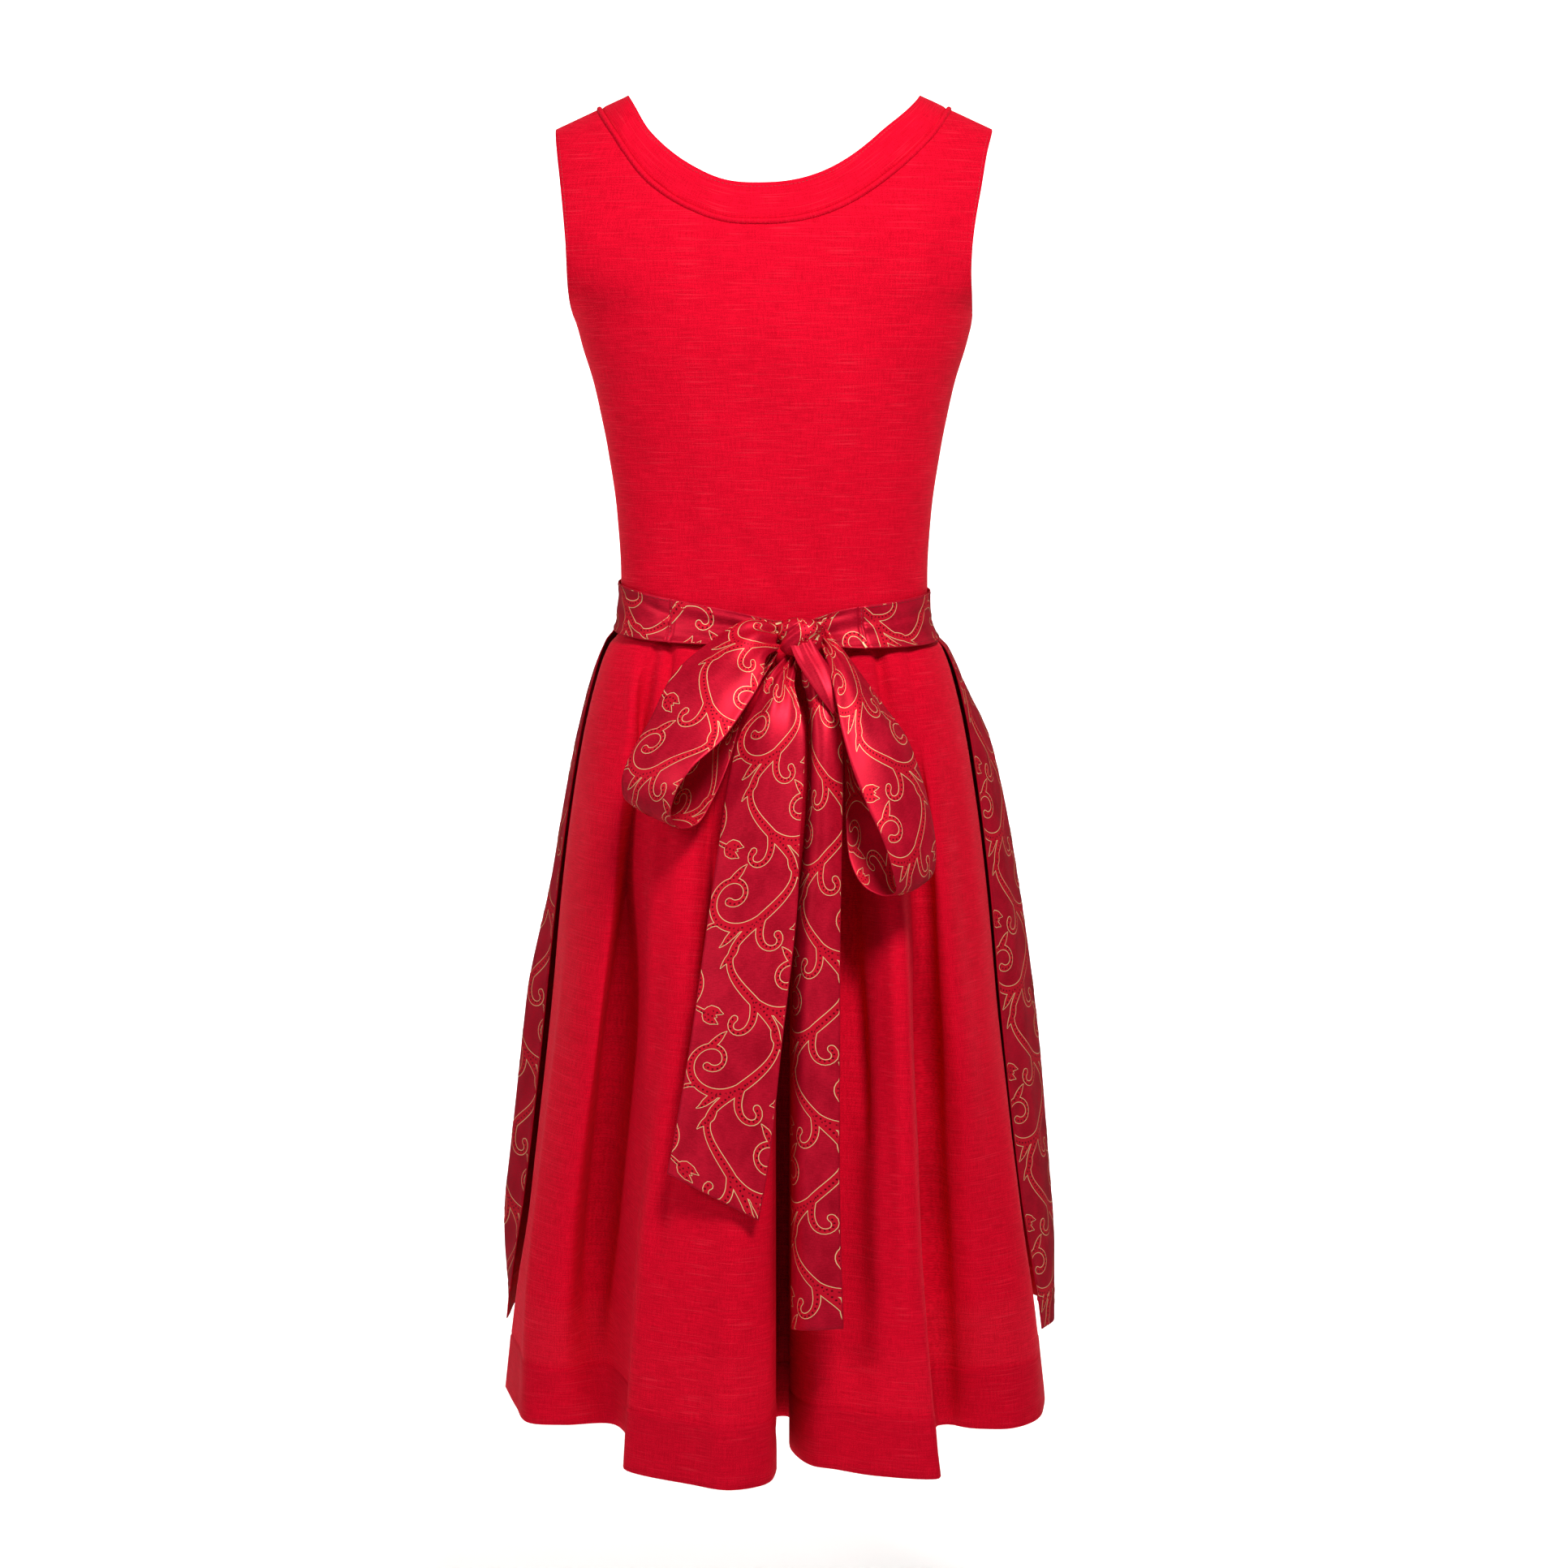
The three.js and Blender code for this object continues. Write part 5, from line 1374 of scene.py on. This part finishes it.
def linen_material():
    """Red slub linen: matt, with thick and thin threads that show as fine streaks both ways."""
    made, tree, surface = new_material("slub_linen", Roughness=0.92, Specular_IOR_Level=0.05)
    upright = cloth_noise(tree, "cloth", 0.8, 11.0)
    level = cloth_noise(tree, "cloth", 18.0, 0.8)
    # Threads of about 0.4 mm would be finer than a pixel, so the grain is drawn at 0.7 mm.
    grain = cloth_noise(tree, "cloth", 0.7, 0.7, 1.0)
    patches = cloth_noise(tree, "cloth", 60.0, 90.0)
    mixed = weighted(tree, ((upright, 0.24), (level, 0.28), (grain, 0.4), (patches, 0.08)))
    woven = two_tone(tree, mixed, 0.4, 0.6, tone("linen_dark"), tone("linen_light"))
    # Here and there a thick thread runs level, lighter than its neighbours.
    slub = cloth_noise(tree, "cloth", 42.0, 1.0, 0.0)
    thick = mapped(tree, slub, 0.7, 0.82, 0.0, 0.2)
    tones = blended(tree, thick, woven, colour("#F03448"))
    source = add_node(tree, "ShaderNodeAttribute", attribute_name="cloth")
    parts = add_node(tree, "ShaderNodeSeparateXYZ", links={0: source.outputs["Vector"]})
    # Painted light: where the linen is single above its hem, the colour is mixed towards a lighter
    # red for light that comes through between the threads.
    painted_light_share = mapped(tree, parts.outputs[2], 0.0, 1.0, 0.0, 0.05)
    painted_light_through = add_node(
        tree, "ShaderNodeMath", {}, {0: painted_light_share, 1: mixed}, operation="MULTIPLY",
    )
    lit = blended(tree, painted_light_through.outputs[0], tones, colour("#F2606E"))
    # Painted shade: the turned-up hem is double, so no light comes through it, and its colour is
    # mixed towards a deeper red, which also stands for the light falling off towards the bottom.
    doubled = mapped(tree, parts.outputs[2], -1.0, 0.0, 0.2, 0.0)
    shown = blended(tree, doubled, lit, colour("#8A0318"))
    tree.links.new(shown, surface.inputs["Base Color"])
    bumped(tree, surface, mixed, 0.6, 0.0006)
    return made


SHEEN = "#F08C9A"


def satin_material():
    """Deep red satin: its threads shine in their own colour, with a fine grain across the ribbon."""
    made, tree, surface = new_material(
        "deep_red_satin", Specular_IOR_Level=0.5, Metallic=0.35, Specular_Tint=colour(SHEEN),
    )
    weft = cloth_noise(tree, "cloth", 5.0, 0.7)
    grain = cloth_noise(tree, "cloth", 1.1, 1.1, 1.0)
    patches = cloth_noise(tree, "cloth", 17.0, 24.0, 3.0)
    mixed = weighted(tree, ((weft, 0.35), (grain, 0.25), (patches, 0.4)))
    tones = two_tone(tree, mixed, 0.36, 0.64, tone("satin_dark"), tone("satin_light"))
    tree.links.new(tones, surface.inputs["Base Color"])
    rough = mapped(tree, mixed, 0.35, 0.65, 0.4, 0.52)
    tree.links.new(rough, surface.inputs["Roughness"])
    bumped(tree, surface, mixed, 0.3, 0.0003)
    return made


DOT_STEP = 3.0
DOT_ASIDE = 0.5               # from the middle of a stroke to its row of dots


def fill_material():
    """Inside of the scrolls: a brighter red, with a row of dark stitched dots beside one edge."""
    made, tree, surface = new_material(
        "scroll_fill", Roughness=0.5, Specular_IOR_Level=0.3, Metallic=0.3,
        Specular_Tint=colour(SHEEN),
    )
    source = add_node(tree, "ShaderNodeAttribute", attribute_name="stem")
    parts = add_node(tree, "ShaderNodeSeparateXYZ", links={0: source.outputs["Vector"]})
    along = add_node(
        tree, "ShaderNodeMath", {1: DOT_STEP}, {0: parts.outputs[0]}, operation="MODULO",
    )
    from_dot = add_node(
        tree, "ShaderNodeMath", {1: DOT_STEP / 2}, {0: along.outputs[0]}, operation="SUBTRACT",
    )
    off_line = add_node(
        tree, "ShaderNodeMath", {1: DOT_ASIDE}, {0: parts.outputs[1]}, operation="SUBTRACT",
    )
    place = add_node(
        tree, "ShaderNodeCombineXYZ", {}, {0: from_dot.outputs[0], 1: off_line.outputs[0]},
    )
    distance = add_node(
        tree, "ShaderNodeVectorMath", {}, {0: place.outputs[0]}, operation="LENGTH",
    )
    # The real dots are about half a millimetre; drawn a little larger, they still show.
    tones = two_tone(
        tree, distance.outputs["Value"], 0.45, 0.85, colour("#5A0410"), tone("fill_tone"),
    )
    tree.links.new(tones, surface.inputs["Base Color"])
    return made


def outline_material():
    """Pale gold thread round the scrolls."""
    return new_material(
        "pale_gold_thread", Base_Color=tone("gold_tone"), Roughness=0.5, Metallic=0.15,
    )[0]


def thread_material():
    """Sewing thread a little deeper than the linen."""
    return new_material("red_thread", Base_Color=colour("#A80A22"), Roughness=0.6)[0]


def satin_thread_material():
    """Dark red thread of the satin's edges."""
    return new_material("dark_thread", Base_Color=colour("#7A0A1C"), Roughness=0.5)[0]


MAKERS = {
    "linen": linen_material, "satin": satin_material, "fill": fill_material,
    "outline": outline_material, "thread": thread_material, "satin_thread": satin_thread_material,
}
made_materials = {}


def material(kind):
    """The material of a kind, made the first time it is asked for."""
    if kind not in made_materials:
        made_materials[kind] = MAKERS[kind]()
    return made_materials[kind]


# ---------------------------------------------------------------- stage

FLOOR_Z = -1.380
FLOOR_HALF = 9.0
CURVE_FROM = 1.6              # where the floor starts to curve up, which is its radius too
BACKDROP_TOP = 7.0
PAPER_GLOW = 0.32
ROOM_LIGHT = 0.05
EYE = (0.008, -2.8, -0.2145)
AIM = (0.008, 0.0, -0.5635)
FOCAL_MM = 77.8
SENSOR_MM = 36.0
# Name, place, what it is aimed at, side and watts of each square light.
LIGHTS = (
    ("key", (0.4, -1.25, 0.9), (0, 0, -0.3), 0.5, 36),
    ("fill", (-1.6, -1.2, 0.5), (0, 0, -0.3), 0.7, 14),
    ("back_left", (-2.4, 1.4, 0.6), (-2.0, 3.4, -0.5), 1.6, 105),
    ("back_right", (2.4, 1.4, 0.6), (2.0, 3.4, -0.5), 1.6, 105),
)


def look_at(thing, place, aim):
    """Puts a light or a camera in its place, turned to a point."""
    thing.location = place
    thing.rotation_euler = (Vector(aim) - Vector(place)).to_track_quat("-Z", "Y").to_euler()
    bpy.context.scene.collection.objects.link(thing)


def area_light(name, place, aim, side, power):
    """A soft square light aimed at a point."""
    data = bpy.data.lights.new(name, "AREA")
    data.shape = "SQUARE"
    data.size = side
    data.energy = power
    look_at(bpy.data.objects.new(name, data), place, aim)


def build_stage():
    """A pale floor that curves up behind the dress, soft light, and the camera."""
    scene = bpy.context.scene
    points, faces = [], []
    profile = [(-FLOOR_HALF, 0.0), (CURVE_FROM, 0.0)]
    for a in evenly(16, 0, math.pi / 2)[1:]:
        profile.append((CURVE_FROM * (1 + math.sin(a)), CURVE_FROM * (1 - math.cos(a))))
    profile.append((CURVE_FROM * 2, BACKDROP_TOP))
    for y, z in profile:
        points += [(x / MM, y / MM, (FLOOR_Z + z) / MM) for x in (-FLOOR_HALF, FLOOR_HALF)]
    for i in range(len(profile) - 1):
        faces.append([2 * i, 2 * i + 1, 2 * i + 3, 2 * i + 2])
    paper = new_material(
        "pale_paper", Base_Color=colour("#F4F4F2"), Roughness=0.9, Emission_Color=colour("#FFFFFF"),
        Emission_Strength=PAPER_GLOW,
    )[0]
    floor = make_object("backdrop", points, faces, paper, {})
    # The satin shows its own red at the sides and doesn't mirror the paper.
    floor.visible_glossy = False
    world = bpy.data.worlds.new("studio")
    world.use_nodes = True
    background = world.node_tree.nodes["Background"]
    background.inputs["Color"].default_value = colour("#FFFFFF")
    background.inputs["Strength"].default_value = ROOM_LIGHT
    scene.world = world
    for light in LIGHTS:
        area_light(*light)
    data = bpy.data.cameras.new("camera")
    data.lens = FOCAL_MM
    data.sensor_width = SENSOR_MM
    camera = bpy.data.objects.new("camera", data)
    look_at(camera, EYE, AIM)
    scene.camera = camera
    scene.view_settings.view_transform = "Standard"


# ---------------------------------------------------------------- panel and operators

def length_property(name, text, default, low, high):
    """A length that the panel shows, from millimetres."""
    return FloatProperty(
        name=name, description=text, default=default * MM, min=low * MM, max=high * MM,
        precision=5, unit="LENGTH", subtype="DISTANCE",
    )


def colour_property(name, text, code):
    """A colour that the panel shows, from a hex code."""
    return FloatVectorProperty(
        name=name, description=text, default=colour(code), size=4, min=0.0, max=1.0,
        subtype="COLOR",
    )


class DirndlSettings(bpy.types.PropertyGroup):
    """Sizes and colours that can be changed before the dress is built."""

    linen_wall: length_property("Linen thickness", "Thickness of the doubled linen", 1.5, 0.5, 3)
    satin_wall: length_property("Satin thickness", "Thickness of the satin", 1.0, 0.4, 3)
    piping_radius: length_property("Piping radius", "Radius of the corded piping", 2.3, 0.6, 3)
    line_width: length_property("Outline width", "Width of the gold outline", 0.55, 0.3, 2)
    linen_dark: colour_property("Linen, thick threads", "Deeper red of the linen", "#BC031E")
    linen_light: colour_property("Linen, thin threads", "Brighter red of the linen", "#E0092A")
    satin_dark: colour_property("Satin, dark", "Deeper red of the satin", "#AC0622")
    satin_light: colour_property("Satin, light", "Brighter red of the satin", "#D01030")
    fill_tone: colour_property("Scroll fill", "Red between the outlines", "#D2122C")
    gold_tone: colour_property("Gold outline", "Pale gold of the outlines", "#EBC690")


class DIRNDL_OT_bodice(bpy.types.Operator):
    """Makes the back and the two front halves of the bodice."""

    bl_idname = "dirndl.bodice"
    bl_label = "Bodice"

    def execute(self, context):
        build_bodice()
        return {"FINISHED"}


class DIRNDL_OT_neckline(bpy.types.Operator):
    """Makes the neckband and its corded piping."""

    bl_idname = "dirndl.neckline"
    bl_label = "Neckline"

    def execute(self, context):
        build_neckline()
        return {"FINISHED"}


class DIRNDL_OT_skirt(bpy.types.Operator):
    """Makes the pleated back and the front of the skirt."""

    bl_idname = "dirndl.skirt"
    bl_label = "Skirt"

    def execute(self, context):
        build_skirt()
        return {"FINISHED"}


class DIRNDL_OT_apron(bpy.types.Operator):
    """Makes the gathered apron."""

    bl_idname = "dirndl.apron"
    bl_label = "Apron"

    def execute(self, context):
        build_apron()
        return {"FINISHED"}


class DIRNDL_OT_waistband(bpy.types.Operator):
    """Makes the apron's waistband and the ties that go on to the knot."""

    bl_idname = "dirndl.waistband"
    bl_label = "Waistband and ties"

    def execute(self, context):
        build_waistband()
        return {"FINISHED"}


class DIRNDL_OT_bow(bpy.types.Operator):
    """Makes the knot, the loops and the tails of the bow."""

    bl_idname = "dirndl.bow"
    bl_label = "Bow"

    def execute(self, context):
        build_bow()
        return {"FINISHED"}


class DIRNDL_OT_ornament(bpy.types.Operator):
    """Lays the scroll ornament on the satin."""

    bl_idname = "dirndl.ornament"
    bl_label = "Ornament"

    def execute(self, context):
        build_ornament()
        return {"FINISHED"}


class DIRNDL_OT_stitching(bpy.types.Operator):
    """Sews the lines of stitches that show."""

    bl_idname = "dirndl.stitching"
    bl_label = "Stitching"

    def execute(self, context):
        build_stitching()
        return {"FINISHED"}


class DIRNDL_OT_stage(bpy.types.Operator):
    """Makes the floor, the light and the camera."""

    bl_idname = "dirndl.stage"
    bl_label = "Stage"

    def execute(self, context):
        build_stage()
        return {"FINISHED"}


OPERATORS = (
    DIRNDL_OT_bodice, DIRNDL_OT_neckline, DIRNDL_OT_skirt, DIRNDL_OT_apron, DIRNDL_OT_waistband,
    DIRNDL_OT_bow, DIRNDL_OT_ornament, DIRNDL_OT_stitching, DIRNDL_OT_stage,
)


class DIRNDL_PT_panel(bpy.types.Panel):
    """Lists the sizes, the colours and the steps that make the dress."""

    bl_label = "Dirndl"
    bl_idname = "DIRNDL_PT_panel"
    bl_space_type = "VIEW_3D"
    bl_region_type = "UI"
    bl_category = "Dirndl"

    def draw(self, context):
        for name in DirndlSettings.__annotations__:
            self.layout.prop(context.scene.dirndl, name)
        for operator in OPERATORS:
            self.layout.operator(operator.bl_idname)


CLASSES = (DirndlSettings, *OPERATORS, DIRNDL_PT_panel)


def register():
    """Registers the classes and gives every scene its settings."""
    for made in CLASSES:
        bpy.utils.register_class(made)
    bpy.types.Scene.dirndl = PointerProperty(type=DirndlSettings)


def unregister():
    """Takes the settings and the classes away again."""
    del bpy.types.Scene.dirndl
    for made in reversed(CLASSES):
        bpy.utils.unregister_class(made)


def main():
    """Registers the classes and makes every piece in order."""
    register()
    for operator in OPERATORS:
        getattr(bpy.ops.dirndl, operator.bl_idname.split(".")[1])()


if __name__ == "__main__":
    main()
